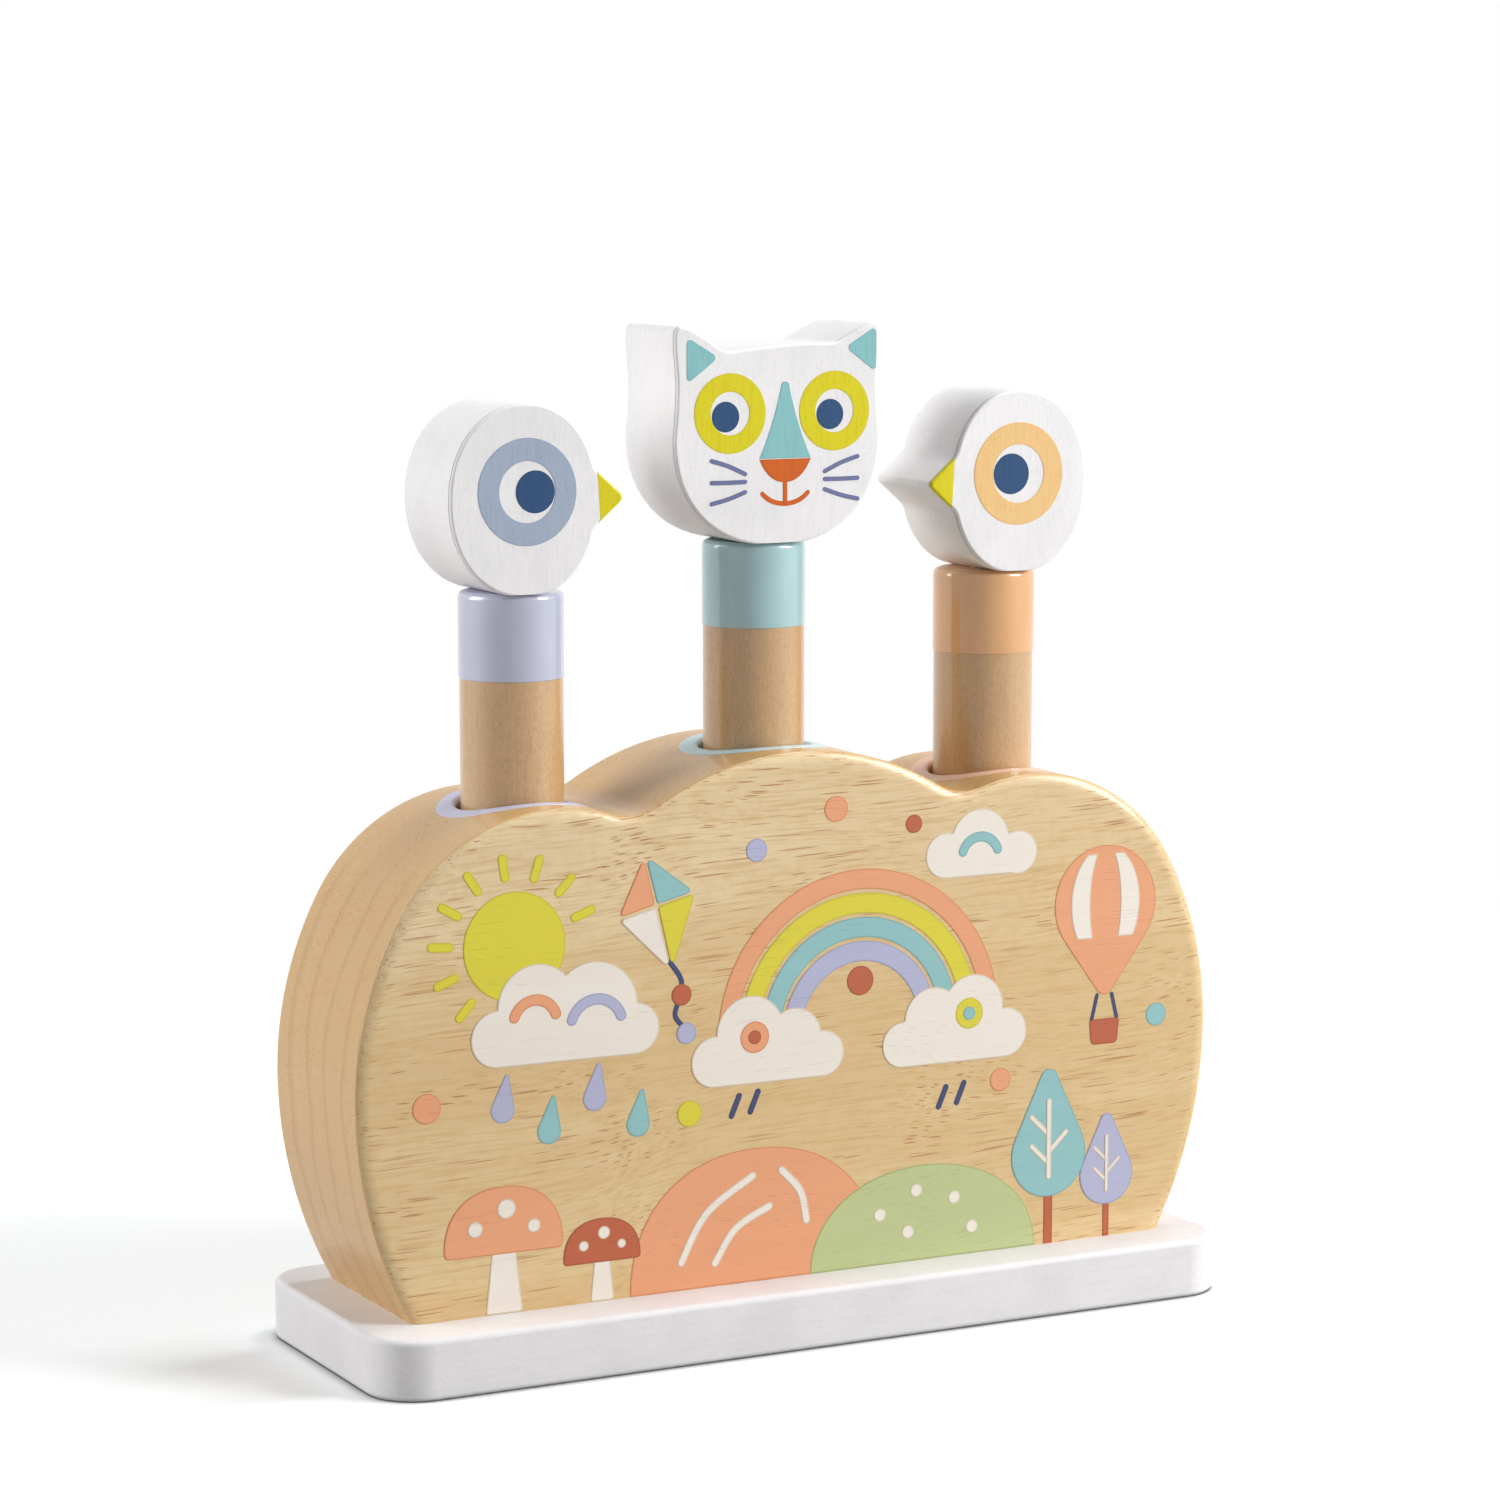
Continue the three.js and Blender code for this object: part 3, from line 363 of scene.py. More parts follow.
class Draft:
    """Gathers the grids and flat faces of one closed piece, in millimetres, and makes its object."""

    def __init__(self) -> None:
        """Starts with no faces."""
        self.points: list[Points] = []
        self.faces: list[list[int]] = []
        self.rims: list[Points] = []
        self.count = 0

    def store(self, points: Points, rim: float | Points) -> int:
        """Keeps points and how near to an ink's rim they lie.

        Args:
            points: rows of three coordinates.
            rim: 1 at the rim of an ink, 0 inside it.

        Returns:
            The first point's number.
        """
        start = self.count
        self.points.append(points)
        self.rims.append(np.broadcast_to(np.asarray(rim, float), len(points)))
        self.count += len(points)
        return start

    def grid(
        self,
        grid: Points,
        wrap_rows: bool = False,
        wrap_columns: bool = True,
        rim: Points | None = None,
    ) -> None:
        """Adds a quad between each two neighbouring rows and columns.

        Args:
            grid: rows of columns of points.
            wrap_rows: whether the last row joins the first.
            wrap_columns: whether the last column joins the first.
            rim: each row's nearness to an ink's rim.
        """
        rows, columns = grid.shape[:2]
        rims = 0.0 if rim is None else np.repeat(rim, columns)
        start = self.store(grid.reshape(-1, 3), rims)
        index = start + np.arange(rows * columns).reshape(rows, columns)
        if wrap_rows:
            index = np.vstack([index, index[:1]])
        if wrap_columns:
            index = np.hstack([index, index[:, :1]])
        quads = [index[:-1, :-1], index[:-1, 1:], index[1:, 1:], index[1:, :-1]]
        self.faces.extend(np.stack(quads, axis=-1).reshape(-1, 4).tolist())

    def cap(self, loop: Points, rim: float = 0.0) -> None:
        """Adds one flat face of many corners.

        Args:
            loop: its corners in order.
            rim: their nearness to an ink's rim.
        """
        start = self.store(loop, rim)
        self.faces.append(list(range(start, start + len(loop))))

    def solid(self, grid: Points, rim: Points | None = None) -> None:
        """Adds a closed body: a grid whose columns wrap, with a flat face on its first and its last row.

        Args:
            grid: rows of columns of points.
            rim: each row's nearness to an ink's rim, or to the bottom of a groove.
        """
        self.grid(grid, rim=rim)
        self.cap(grid[0])
        self.cap(grid[-1])

    def mesh(self, name: str) -> bpy.types.Mesh:
        """Makes the mesh in metres, joins equal corners and turns the faces outwards.

        Args:
            name: the mesh's name.

        Returns:
            The mesh, with its rims as the attribute "rim".
        """
        mesh = bpy.data.meshes.new(name)
        mesh.from_pydata(np.vstack(self.points) * MM, [], self.faces)
        mesh.attributes.new("rim", "FLOAT", "POINT").data.foreach_set("value", np.concatenate(self.rims))
        work = bmesh.new()
        work.from_mesh(mesh)
        bmesh.ops.remove_doubles(work, verts=work.verts, dist=WELD)
        bmesh.ops.recalc_face_normals(work, faces=work.faces)
        work.to_mesh(mesh)
        work.free()
        return mesh

    def make(self, name: str, finish: "Finish", cutter: "Draft | None" = None) -> Piece:
        """Makes the piece, cuts a cutter out of it and shades it smooth up to a crease.

        Args:
            name: the piece's name.
            finish: its finish.
            cutter: closed bodies to cut out of it.

        Returns:
            The piece.
        """
        piece = bpy.data.objects.new(name, self.mesh(name))
        bpy.context.scene.collection.objects.link(piece)
        if cutter is not None:
            cut_out(piece, cutter)
        mesh = piece.data
        mesh.materials.clear()
        mesh.materials.append(finish.material())
        mesh.polygons.foreach_set("use_smooth", np.ones(len(mesh.polygons), bool))
        mesh.set_sharp_from_angle(angle=CREASE)
        shading = piece.modifiers.new("even_shading", "WEIGHTED_NORMAL")
        shading.keep_sharp = True
        return piece


def cut_out(piece: Piece, cutter: Draft) -> None:
    """Cuts closed bodies out of a piece and keeps the result as its mesh.

    Args:
        piece: the piece.
        cutter: the bodies.
    """
    tool = bpy.data.objects.new("cutter", cutter.mesh("cutter"))
    bpy.context.scene.collection.objects.link(tool)
    cut = piece.modifiers.new("cut", "BOOLEAN")
    cut.operation = "DIFFERENCE"
    cut.solver = "EXACT"
    cut.object = tool
    bpy.context.view_layer.update()
    graph = bpy.context.evaluated_depsgraph_get()
    old = piece.data
    result = bpy.data.meshes.new_from_object(piece.evaluated_get(graph))
    piece.modifiers.clear()
    piece.data = result
    result.name = piece.name
    tool_mesh = tool.data
    bpy.data.objects.remove(tool)
    bpy.data.meshes.remove(tool_mesh)
    bpy.data.meshes.remove(old)


@dataclass(frozen=True)
class Film:
    """A coat of ink on a flat front, with a low bead along its rim where the ink piled up. Millimetres."""

    thickness: float = 0.06
    bead: float = 0.025
    bead_width: float = 0.16
    rim_width: float = 0.42
    root: float = 0.05

    def levels(self) -> tuple[Points, Points, Points]:
        """The rim's profile: each row's distance inside the outline, its height and its nearness to the rim.

        Returns:
            Insets, heights over the ground and rim values.
        """
        insets = np.array([0, 0, self.bead_width, self.rim_width])
        heights = np.array([-self.root, self.thickness, self.thickness + self.bead, self.thickness])
        return insets, heights, np.array([1.0, 1.0, 1.0, 0.0])

    def area(self, draft: Draft, outline: Points, front: float, lift: float = 0.0) -> None:
        """Adds a filled area of ink that faces -Y.

        Args:
            draft: the piece that it belongs to.
            outline: its outline in X and Z.
            front: the ground's Y.
            lift: how far the ink lies over that ground, for one ink on another.
        """
        loop = counterclockwise(outline)
        insets, heights, rims = self.levels()
        heights = heights + lift * (heights > 0)
        rows = stacked([inward(loop, inset) for inset in insets], front - heights)
        draft.grid(rows, rim=rims)
        draft.cap(rows[0], rim=1.0)
        draft.cap(rows[-1])

    def over_edge(self, draft: Draft, outline: Points, front: float, edge: float) -> None:
        """Adds an area of ink that follows a board's rounded edge down to its side.

        Its rows lie outside a quarter circle of the edge's radius by the ink's thickness:
        (edge - (edge + thickness) * sin a, edge - (edge + thickness) * cos a) as inset and depth.

        Args:
            draft: the piece that it belongs to.
            outline: its outline in X and Z, where it is the board's own.
            front: the ground's Y.
            edge: the radius of the board's rounded edge.
        """
        loop = counterclockwise(outline)
        turn = np.linspace(math.pi / 2, 0, 7)
        reach = edge + self.thickness
        insets = np.concatenate([[edge + self.root, self.root], edge - reach * np.sin(turn)])
        depths = np.concatenate([[self.root, edge + self.root], edge - reach * np.cos(turn)])
        draft.solid(stacked([inward(loop, inset) for inset in insets], front + depths))

    def ring(self, draft: Draft, centre: Sequence[float], outer: float, inner: float, front: float) -> None:
        """Adds a ring of ink that faces -Y.

        Args:
            draft: the piece that it belongs to.
            centre: its centre in X and Z.
            outer: its outer radius.
            inner: its inner radius.
            front: the ground's Y.
        """
        insets, heights, rims = self.levels()
        radii = np.concatenate([outer - insets, (inner + insets)[::-1]])
        depths = front - np.concatenate([heights, heights[::-1]])
        rows = stacked([circle(centre, radius, 120) for radius in radii], depths)
        draft.grid(rows, wrap_rows=True, rim=np.concatenate([rims, rims[::-1]]))


def stacked(loops: Sequence[Points], depths: Points) -> Points:
    """Stands outlines up, one behind another.

    Args:
        loops: the outlines, as rows of X and Z, with as many points each.
        depths: each one's Y.

    Returns:
        A grid of outlines by points.
    """
    return np.stack([np.insert(loop, 1, depth, axis=1) for loop, depth in zip(loops, depths, strict=True)])


# Finishes


def linear(code: str) -> tuple[float, float, float, float]:
    """Turns an sRGB hex colour to the linear one that a shader takes.

    Args:
        code: the colour, such as "#c2c4c4".

    Returns:
        Linear red, green and blue, and full cover.
    """
    parts = [int(code[i : i + 2], 16) / 255 for i in (1, 3, 5)]
    red, green, blue = (c / 12.92 if c <= 0.04045 else ((c + 0.055) / 1.055) ** 2.4 for c in parts)
    return red, green, blue, 1.0


def add_node(tree: Tree, kind: str, inputs: dict | None = None, **settings: object) -> Node:
    """Adds a node, sets it up and links it.

    Args:
        tree: the tree that it goes into.
        kind: the node's type.
        inputs: values or other nodes' outputs, by the input's name or number.
        **settings: the node's own settings.

    Returns:
        The node.
    """
    node = tree.nodes.new(kind)
    for key, value in settings.items():
        setattr(node, key, value)
    feed(node, inputs or {})
    return node


def feed(node: Node, inputs: dict) -> None:
    """Gives each of a node's inputs a value or another node's output.

    Args:
        node: the node.
        inputs: values or other nodes' outputs, by the input's name or number.
    """
    for key, value in inputs.items():
        if isinstance(value, Socket):
            node.id_data.links.new(value, node.inputs[key])
        else:
            node.inputs[key].default_value = value


def maths(tree: Tree, operation: str, a: Socket, b: Socket | None = None) -> Socket:
    """Adds a calculation with one or two values.

    Args:
        tree: the tree that it goes into.
        operation: what is done with them.
        a: the first value.
        b: the second value.

    Returns:
        The outcome.
    """
    inputs = {0: a} if b is None else {0: a, 1: b}
    return add_node(tree, "ShaderNodeMath", inputs, operation=operation).outputs["Value"]


# The colour sockets of a mix node, by number, because their names aren't unique
MIX_A = 6
MIX_B = 7
MIX_RESULT = 2
# The length along which Blender's wave texture repeats at a scale of 1: pi / 10
WAVE_PERIOD = 0.314


class Recipe:
    """A material being made: its tree, its shader and the piece's own coordinates."""

    def __init__(self, name: str) -> None:
        """Starts a material.

        Args:
            name: its name.
        """
        self.material = bpy.data.materials.new(name)
        self.material.use_nodes = True
        self.tree = self.material.node_tree
        self.shader = self.tree.nodes["Principled BSDF"]
        self.place = self.add("ShaderNodeTexCoord")

    def add(self, kind: str, inputs: dict | None = None, **settings: object) -> Node:
        """Adds a node to this material's tree, as add_node does."""
        return add_node(self.tree, kind, inputs, **settings)

    def maths(self, operation: str, a: Socket, b: Socket | None = None) -> Socket:
        """Adds a calculation to this material's tree, as the function maths does."""
        return maths(self.tree, operation, a, b)

    def rim(self) -> Socket:
        """How near a point lies to an ink's rim or a groove's bottom, from the mesh's own attribute."""
        return self.add("ShaderNodeAttribute", attribute_name="rim").outputs["Fac"]

    def scaled(self, size: Size, shift: float, place: Socket | None) -> Socket:
        """Coordinates in which one step along each axis is a size in millimetres.

        Args:
            size: the step along X, Y and Z.
            shift: how far the pattern is moved, in steps.
            place: other coordinates than the piece's own.

        Returns:
            The coordinates.
        """
        inputs = {
            "Vector": place or self.place.outputs["Object"],
            "Location": (shift, shift, shift),
            "Scale": tuple(1 / (step * MM) for step in size),
        }
        return self.add("ShaderNodeMapping", inputs).outputs["Vector"]

    def streaks(self, size: Size, shift: float, detail: float, place: Socket | None = None) -> Socket:
        """A cloudy pattern whose lumps have a size along each axis.

        Args:
            size: the lumps' size along X, Y and Z, in millimetres.
            shift: how far the pattern is moved, in lumps.
            detail: how many finer layers it has.
            place: other coordinates than the piece's own.

        Returns:
            Values from about 0.2 to 0.8.
        """
        inputs = {"Vector": self.scaled(size, shift, place), "Scale": 1.0, "Detail": detail}
        return self.add("ShaderNodeTexNoise", inputs).outputs["Fac"]

    def tint(
        self,
        ground: Socket | str,
        over: str,
        pattern: Socket,
        low: float,
        high: float,
        share: float,
    ) -> Socket:
        """Lays a colour over another where a pattern is high.

        Args:
            ground: the ground, as sRGB hex or another pattern's colour.
            over: the colour that is laid over it, as sRGB hex.
            pattern: the pattern.
            low: the pattern's value up to which the ground shows alone.
            high: the value from which the most is laid over it.
            share: how much covers at most.

        Returns:
            The mixed colour.
        """
        cover = self.spread(pattern, low, high, 0, share)
        below = linear(ground) if isinstance(ground, str) else ground
        inputs = {"Factor": cover, MIX_A: below, MIX_B: linear(over)}
        return self.add("ShaderNodeMix", inputs, data_type="RGBA").outputs[MIX_RESULT]

    def spread(self, value: Socket, low: float, high: float, to_low: float = 0, to_high: float = 1) -> Socket:
        """Stretches a pattern's values softly to another span.

        Args:
            value: the pattern.
            low: the value that becomes to_low.
            high: the value that becomes to_high.
            to_low: the new span's start.
            to_high: the new span's end.

        Returns:
            The stretched pattern.
        """
        inputs = {"Value": value, "From Min": low, "From Max": high, "To Min": to_low, "To Max": to_high}
        return self.add("ShaderNodeMapRange", inputs, interpolation_type="SMOOTHSTEP").outputs["Result"]

    def relief(self, height: Socket, depth: float) -> None:
        """Gives the shader a relief.

        Args:
            height: the pattern of the relief, from 0 to 1.
            depth: its depth in millimetres.
        """
        bump = self.add("ShaderNodeBump", {"Height": height, "Distance": depth * MM, "Strength": 1.0})
        feed(self.shader, {"Normal": bump.outputs["Normal"]})

    def finish(self, colour: Socket | tuple, roughness: Socket | float, **sockets: float) -> None:
        """Sets the shader's colour, roughness and other sockets.

        Args:
            colour: the base colour.
            roughness: the base roughness.
            **sockets: other values, by the socket's name with _ for a space.
        """
        named = {name.replace("_", " "): value for name, value in sockets.items()}
        feed(self.shader, {"Base Color": colour, "Roughness": roughness, **named})


@dataclass(frozen=True)
class Finish:
    """What all finishes have: a name, a colour as sRGB hex and a roughness."""

    name: str
    colour: str
    roughness: float

    def mix(self, recipe: Recipe) -> None:
        """Sets the material up. Each kind of finish has its own way.

        Args:
            recipe: the material being made.
        """
        raise NotImplementedError

    def material(self) -> bpy.types.Material:
        """Returns the finish's material, which is made when it is first asked for."""
        if self.name not in bpy.data.materials:
            self.mix(Recipe(self.name))
        return bpy.data.materials[self.name]


@dataclass(frozen=True)
class BlockGrain:
    """The figure of the block's wood as patterns from 0 to 1, the same in the bare wood and under its inks.

    Rubberwood has wide vessels, which a saw along the grain opens as short brown dashes. The fibres run
    along X.
    """

    bands: Socket
    pores: Socket
    fibres: Socket
    lines: Socket
    end: Socket
    # Painted sheen: paler wood high on the broad faces
    painted_sheen: Socket
    # Painted shade where the surface faces up
    top: Socket

    @classmethod
    def on(cls, recipe: Recipe) -> "BlockGrain":
        """Lays the figure in a material.

        The grain rises by 2 degrees and sways by a millimetre or two. Growth bands lie about 9 mm apart in
        depth and 12 mm in height. Vessels are 0.3 mm wide and 3 to 9 mm long, in groups. Fibres are drawn
        0.6 mm apart, which is coarser than the real ones, so that they show. The end grain lies where the
        surface faces along X, and growth rings run through it as thin lines: a saw wave with a step every
        9 mm of depth, which a slow noise bends. A painted sheen makes the broad faces paler from 65 to 122 mm
        up, and painted shade darkens the faces that look up.

        Args:
            recipe: the material being made.

        Returns:
            The figure's patterns.
        """
        sway = recipe.spread(recipe.streaks((70, 40, 30), 3.1, 1), 0.25, 0.75, -0.0022, 0.0022)
        shift = recipe.add("ShaderNodeCombineXYZ", {"Y": sway, "Z": sway}).outputs["Vector"]
        inputs = {"Vector": recipe.place.outputs["Object"], "Rotation": (0, 0.035, 0)}
        slanted = recipe.add("ShaderNodeMapping", inputs).outputs["Vector"]
        inputs = {0: slanted, 1: shift}
        place = recipe.add("ShaderNodeVectorMath", inputs, operation="ADD").outputs["Vector"]
        normal = recipe.add("ShaderNodeSeparateXYZ", {"Vector": recipe.place.outputs["Normal"]}).outputs
        end = recipe.spread(recipe.maths("ABSOLUTE", normal["X"]), 0.45, 0.95)
        depth_bands = recipe.spread(recipe.streaks((260, 9, 130), 5.2, 1, place), 0.3, 0.62)
        height_bands = recipe.spread(recipe.streaks((220, 60, 12), 8.7, 2, place), 0.32, 0.68)
        bands = recipe.add("ShaderNodeMix", {0: end, 2: height_bands, 3: depth_bands}).outputs[0]
        inputs = {"Vector": recipe.scaled((17, 0.42, 0.42), 0, place), "Scale": 1}
        cells = recipe.add("ShaderNodeTexVoronoi", inputs)
        reach = recipe.spread(cells.outputs["Color"], 0.25, 0.75, 0.02, 0.42)
        inside = recipe.maths("SUBTRACT", reach, cells.outputs["Distance"])
        crowd = recipe.spread(recipe.streaks((40, 12, 7), 1.7, 1, place), 0.38, 0.62, 0.4, 1)
        pores = recipe.maths("MULTIPLY", recipe.spread(inside, 0, 0.2), crowd)
        fibres = recipe.streaks((16, 0.6, 0.6), 0.4, 2, place)
        inputs = {
            "Vector": recipe.scaled((1400, 9 / WAVE_PERIOD, 500), 0.12, place),
            "Scale": 1.0,
            "Distortion": 1.6,
            "Detail": 1.0,
            "Detail Scale": 3.0,
        }
        wave = recipe.add("ShaderNodeTexWave", inputs, bands_direction="Y", wave_profile="SAW")
        lines = recipe.maths("MULTIPLY", recipe.spread(wave.outputs["Fac"], 0.6, 1), end)
        height = recipe.add("ShaderNodeSeparateXYZ", {"Vector": place}).outputs["Z"]
        # Painted sheen: the broad faces turn paler from 65 to 122 mm up
        broad = recipe.spread(recipe.maths("ABSOLUTE", normal["Y"]), 0.3, 0.9)
        painted_sheen = recipe.maths("MULTIPLY", recipe.spread(height, 65 * MM, 122 * MM), broad)
        # Painted shade: where the surface faces up it takes the end grain's darker colour
        return cls(bands, pores, fibres, lines, end, painted_sheen, recipe.spread(normal["Z"], 0.4, 0.9))


@dataclass(frozen=True)
class BlockWood(Finish):
    """Sanded rubberwood under a thin satin varnish: soft bands, brown vessels and a darker end grain."""

    late: str
    pore: str
    line: str
    # The end grain's colour, which is also painted on the top as shade
    end: str
    # The colour of the painted sheen high on the broad faces
    painted_sheen: str

    def mix(self, recipe: Recipe) -> None:
        """Lays a painted sheen high on the broad faces, late wood, end grain, painted shade on the faces that
        look up, fibres and vessels, which sink a little.
        """
        grain = BlockGrain.on(recipe)
        # Painted sheen: the broad faces turn paler high up
        colour = recipe.tint(self.colour, self.painted_sheen, grain.painted_sheen, 0, 1, 0.62)
        colour = recipe.tint(colour, self.late, grain.bands, 0, 1, 0.3)
        colour = recipe.tint(colour, self.end, grain.end, 0, 1, 0.8)
        # Painted shade: the faces that look up are darkened with the end grain's colour
        colour = recipe.tint(colour, self.end, grain.top, 0, 1, 0.8)
        mottle = recipe.streaks((2.6, 2.6, 2.6), 6.1, 2)
        colour = recipe.tint(colour, self.late, mottle, 0.4, 0.75, 0.22)
        colour = recipe.tint(colour, self.late, grain.fibres, 0.42, 0.72, 0.5)
        colour = recipe.tint(colour, self.line, grain.lines, 0, 1, 0.26)
        colour = recipe.tint(colour, self.pore, grain.pores, 0, 1, 0.7)
        recipe.relief(recipe.spread(grain.pores, 0, 1, 1, 0), 0.03)
        roughness = recipe.spread(grain.fibres, 0.3, 0.7, self.roughness - 0.05, self.roughness + 0.05)
        recipe.finish(colour, roughness, Specular_IOR_Level=0.2, Coat_Weight=0.5, Coat_Roughness=0.18)


@dataclass(frozen=True)
class BlockInk(Finish):
    """Screen ink on the varnished block: matt, and thin enough that vessels show; darker at its rim."""

    pore: str
    rim: str

    def mix(self, recipe: Recipe) -> None:
        """Lets the block's bands and vessels tint the ink, and darkens the bead along the rim."""
        grain = BlockGrain.on(recipe)
        colour = recipe.tint(self.colour, self.pore, grain.bands, 0, 1, 0.1)
        colour = recipe.tint(colour, self.pore, grain.pores, 0, 1, 0.28)
        colour = recipe.tint(colour, self.rim, recipe.rim(), 0.2, 1, 0.8)
        recipe.relief(recipe.spread(grain.pores, 0, 1, 1, 0), 0.03)
        roughness = recipe.spread(grain.fibres, 0.3, 0.7, self.roughness - 0.04, self.roughness + 0.04)
        recipe.finish(colour, roughness)


@dataclass(frozen=True)
class StickWood(Finish):
    """A planed birch dowel under clear lacquer: very fine upright grain, faint flecks and a soft gloss."""

    late: str

    def mix(self, recipe: Recipe) -> None:
        """Lays 6 mm wide bands, fine fibres, drawn 0.5 mm wide, and short flecks over the light wood."""
        bands = recipe.streaks((6, 6, 120), 2.3, 1)
        fibres = recipe.streaks((0.5, 0.5, 9), 0.8, 2)
        flecks = recipe.streaks((0.45, 0.45, 1.1), 4.5, 1)
        colour = recipe.tint(self.colour, self.late, bands, 0.35, 0.7, 0.3)
        colour = recipe.tint(colour, self.late, fibres, 0.42, 0.75, 0.3)
        colour = recipe.tint(colour, self.late, flecks, 0.4, 0.75, 0.4)
        recipe.relief(flecks, 0.008)
        recipe.finish(colour, self.roughness, Coat_Weight=1.0, Coat_Roughness=0.2, Coat_IOR=1.6)


@dataclass(frozen=True)
class RawWood(Finish):
    """The unfinished beech of the neck pins: dry, with fine upright grain."""

    late: str

    def mix(self, recipe: Recipe) -> None:
        """Lays fine fibres over the light wood."""
        fibres = recipe.streaks((0.5, 0.5, 14), 0.8, 3)
        colour = recipe.tint(self.colour, self.late, fibres, 0.35, 0.7, 0.9)
        recipe.relief(fibres, 0.05)
        recipe.finish(colour, self.roughness)


@dataclass(frozen=True)
class WoodPaint(Finish):
    """Sprayed water paint on wood: it hides the colour, and its grit and faint grain catch the light."""

    shade: str
    grain: Size
    grain_share: float
    depth: float
    # The colour of the painted shade in the groove's bottom
    painted_groove_shade: str

    def mix(self, recipe: Recipe) -> None:
        """Lays faint grain, a 0.6 mm grit and clouds over the paint, and painted shade in the groove's
        bottom.
        """
        ridges = recipe.streaks(self.grain, 0.6, 1)
        grit = recipe.streaks((0.6, 0.6, 0.6), 1.9, 2)
        clouds = recipe.streaks((14, 14, 20), 7.3, 2)
        colour = recipe.tint(self.colour, self.shade, ridges, 0.4, 0.8, self.grain_share)
        colour = recipe.tint(colour, self.shade, grit, 0.5, 0.85, 0.4)
        colour = recipe.tint(colour, self.shade, clouds, 0.4, 0.75, 0.25)
        # Painted shade: the groove's bottom is darkened
        colour = recipe.tint(colour, self.painted_groove_shade, recipe.rim(), 0.1, 0.8, 0.85)
        recipe.relief(recipe.maths("ADD", ridges, grit), self.depth)
        recipe.finish(colour, self.roughness, Specular_IOR_Level=0.25)


@dataclass(frozen=True)
class HeadInk(Finish):
    """Pad printed ink on a painted head: even, matt, with the head's fine upright grain in it."""

    shade: str
    slot: str

    def mix(self, recipe: Recipe) -> None:
        """Lets the grain ridges tint the ink, and darkens its rim a little."""
        ridges = recipe.streaks((0.5, 0.5, 7), 0.6, 1)
        grit = recipe.streaks((0.5, 0.5, 0.5), 1.9, 2)
        colour = recipe.tint(self.colour, self.shade, ridges, 0.42, 0.78, 0.4)
        colour = recipe.tint(colour, self.shade, grit, 0.5, 0.8, 0.6)
        colour = recipe.tint(colour, self.shade, recipe.rim(), 0.3, 1, 0.35)
        recipe.relief(grit, 0.008)
        recipe.finish(colour, self.roughness, Specular_IOR_Level=0.2)


@dataclass(frozen=True)
class Lacquer(Finish):
    """Dipped nitro lacquer on a stick's end: a deep gloss over an even colour, with a faint orange peel."""

    shade: str
    slot: str

    def mix(self, recipe: Recipe) -> None:
        """Lays faint clouds in the colour and a relief of 2 mm wide swells in the gloss."""
        clouds = recipe.streaks((6, 6, 14), 2.9, 2)
        swells = recipe.streaks((2.2, 2.2, 3.5), 5.1, 1)
        colour = recipe.tint(self.colour, self.shade, clouds, 0.35, 0.7, 0.35)
        recipe.relief(swells, 0.012)
        recipe.finish(colour, self.roughness, Coat_Weight=1.0, Coat_Roughness=0.1, Coat_IOR=1.7)


@dataclass(frozen=True)
class RingPaint(Finish):
    """Brushed paint round the bores: satin, with the block's fibres faintly in it."""

    shade: str
    slot: str

    def mix(self, recipe: Recipe) -> None:
        """Lays faint fibres and clouds over the paint."""
        fibres = recipe.streaks((16, 0.6, 0.6), 0.4, 2)
        clouds = recipe.streaks((6, 6, 6), 3.3, 2)
        colour = recipe.tint(self.colour, self.shade, fibres, 0.45, 0.8, 0.5)
        colour = recipe.tint(colour, self.shade, clouds, 0.4, 0.75, 0.4)
        recipe.relief(fibres, 0.03)
        recipe.finish(colour, self.roughness, Coat_Weight=0.25, Coat_Roughness=0.3)


@dataclass(frozen=True)
class DrawnMetal(Finish):
    """Drawn spring wire or zinc plated steel: bright, with faint clouds in its gloss."""

    shade: str

    def mix(self, recipe: Recipe) -> None:
        """Lays faint clouds in the colour and the roughness."""
        clouds = recipe.streaks((1.6, 1.6, 1.6), 1.4, 3)
        colour = recipe.tint(self.colour, self.shade, clouds, 0.35, 0.7, 0.8)
        roughness = recipe.spread(clouds, 0.3, 0.7, self.roughness - 0.07, self.roughness + 0.1)
        recipe.finish(colour, roughness, Metallic=1.0)


@dataclass(frozen=True)
class MouldedPlastic(Finish):
    """Moulded polypropylene of the spring cups: milky, with a fine spark-eroded grain."""

    shade: str

    def mix(self, recipe: Recipe) -> None:
        """Lays a 0.4 mm grain and faint clouds in the plastic."""
        grain = recipe.streaks((0.4, 0.4, 0.4), 0.9, 2)
        clouds = recipe.streaks((8, 8, 8), 2.2, 2)
        colour = recipe.tint(self.colour, self.shade, clouds, 0.35, 0.7, 0.8)
        recipe.relief(grain, 0.02)
        recipe.finish(colour, self.roughness, Subsurface_Weight=0.1, Subsurface_Scale=0.002)


# The pale colour last in the list is a painted sheen high on the broad faces; the end grain's colour also
# paints shade on the top
BLOCK_WOOD = BlockWood(
    "rubberwood_varnished", "#E0C594", 0.5, late="#CEA66B", pore="#A85E26", line="#A27842", end="#C99F66",
    painted_sheen="#F1DFBA",
)  # fmt: skip
PEG_WOOD = StickWood("birch_dowel_lacquered", "#C79F6C", 0.5, late="#A87F4F")
PIN_WOOD = RawWood("beech_pin_raw", "#D9B98B", 0.75, late="#BE9868")
BOARD_PAINT = WoodPaint(
    "white_paint_on_board", "#ECEAEC", 0.55, shade="#D4D2D6", painted_groove_shade="#D4D2D6", grain=(9, 0.9, 0.9),
    grain_share=0.15, depth=0.02,
)  # fmt: skip
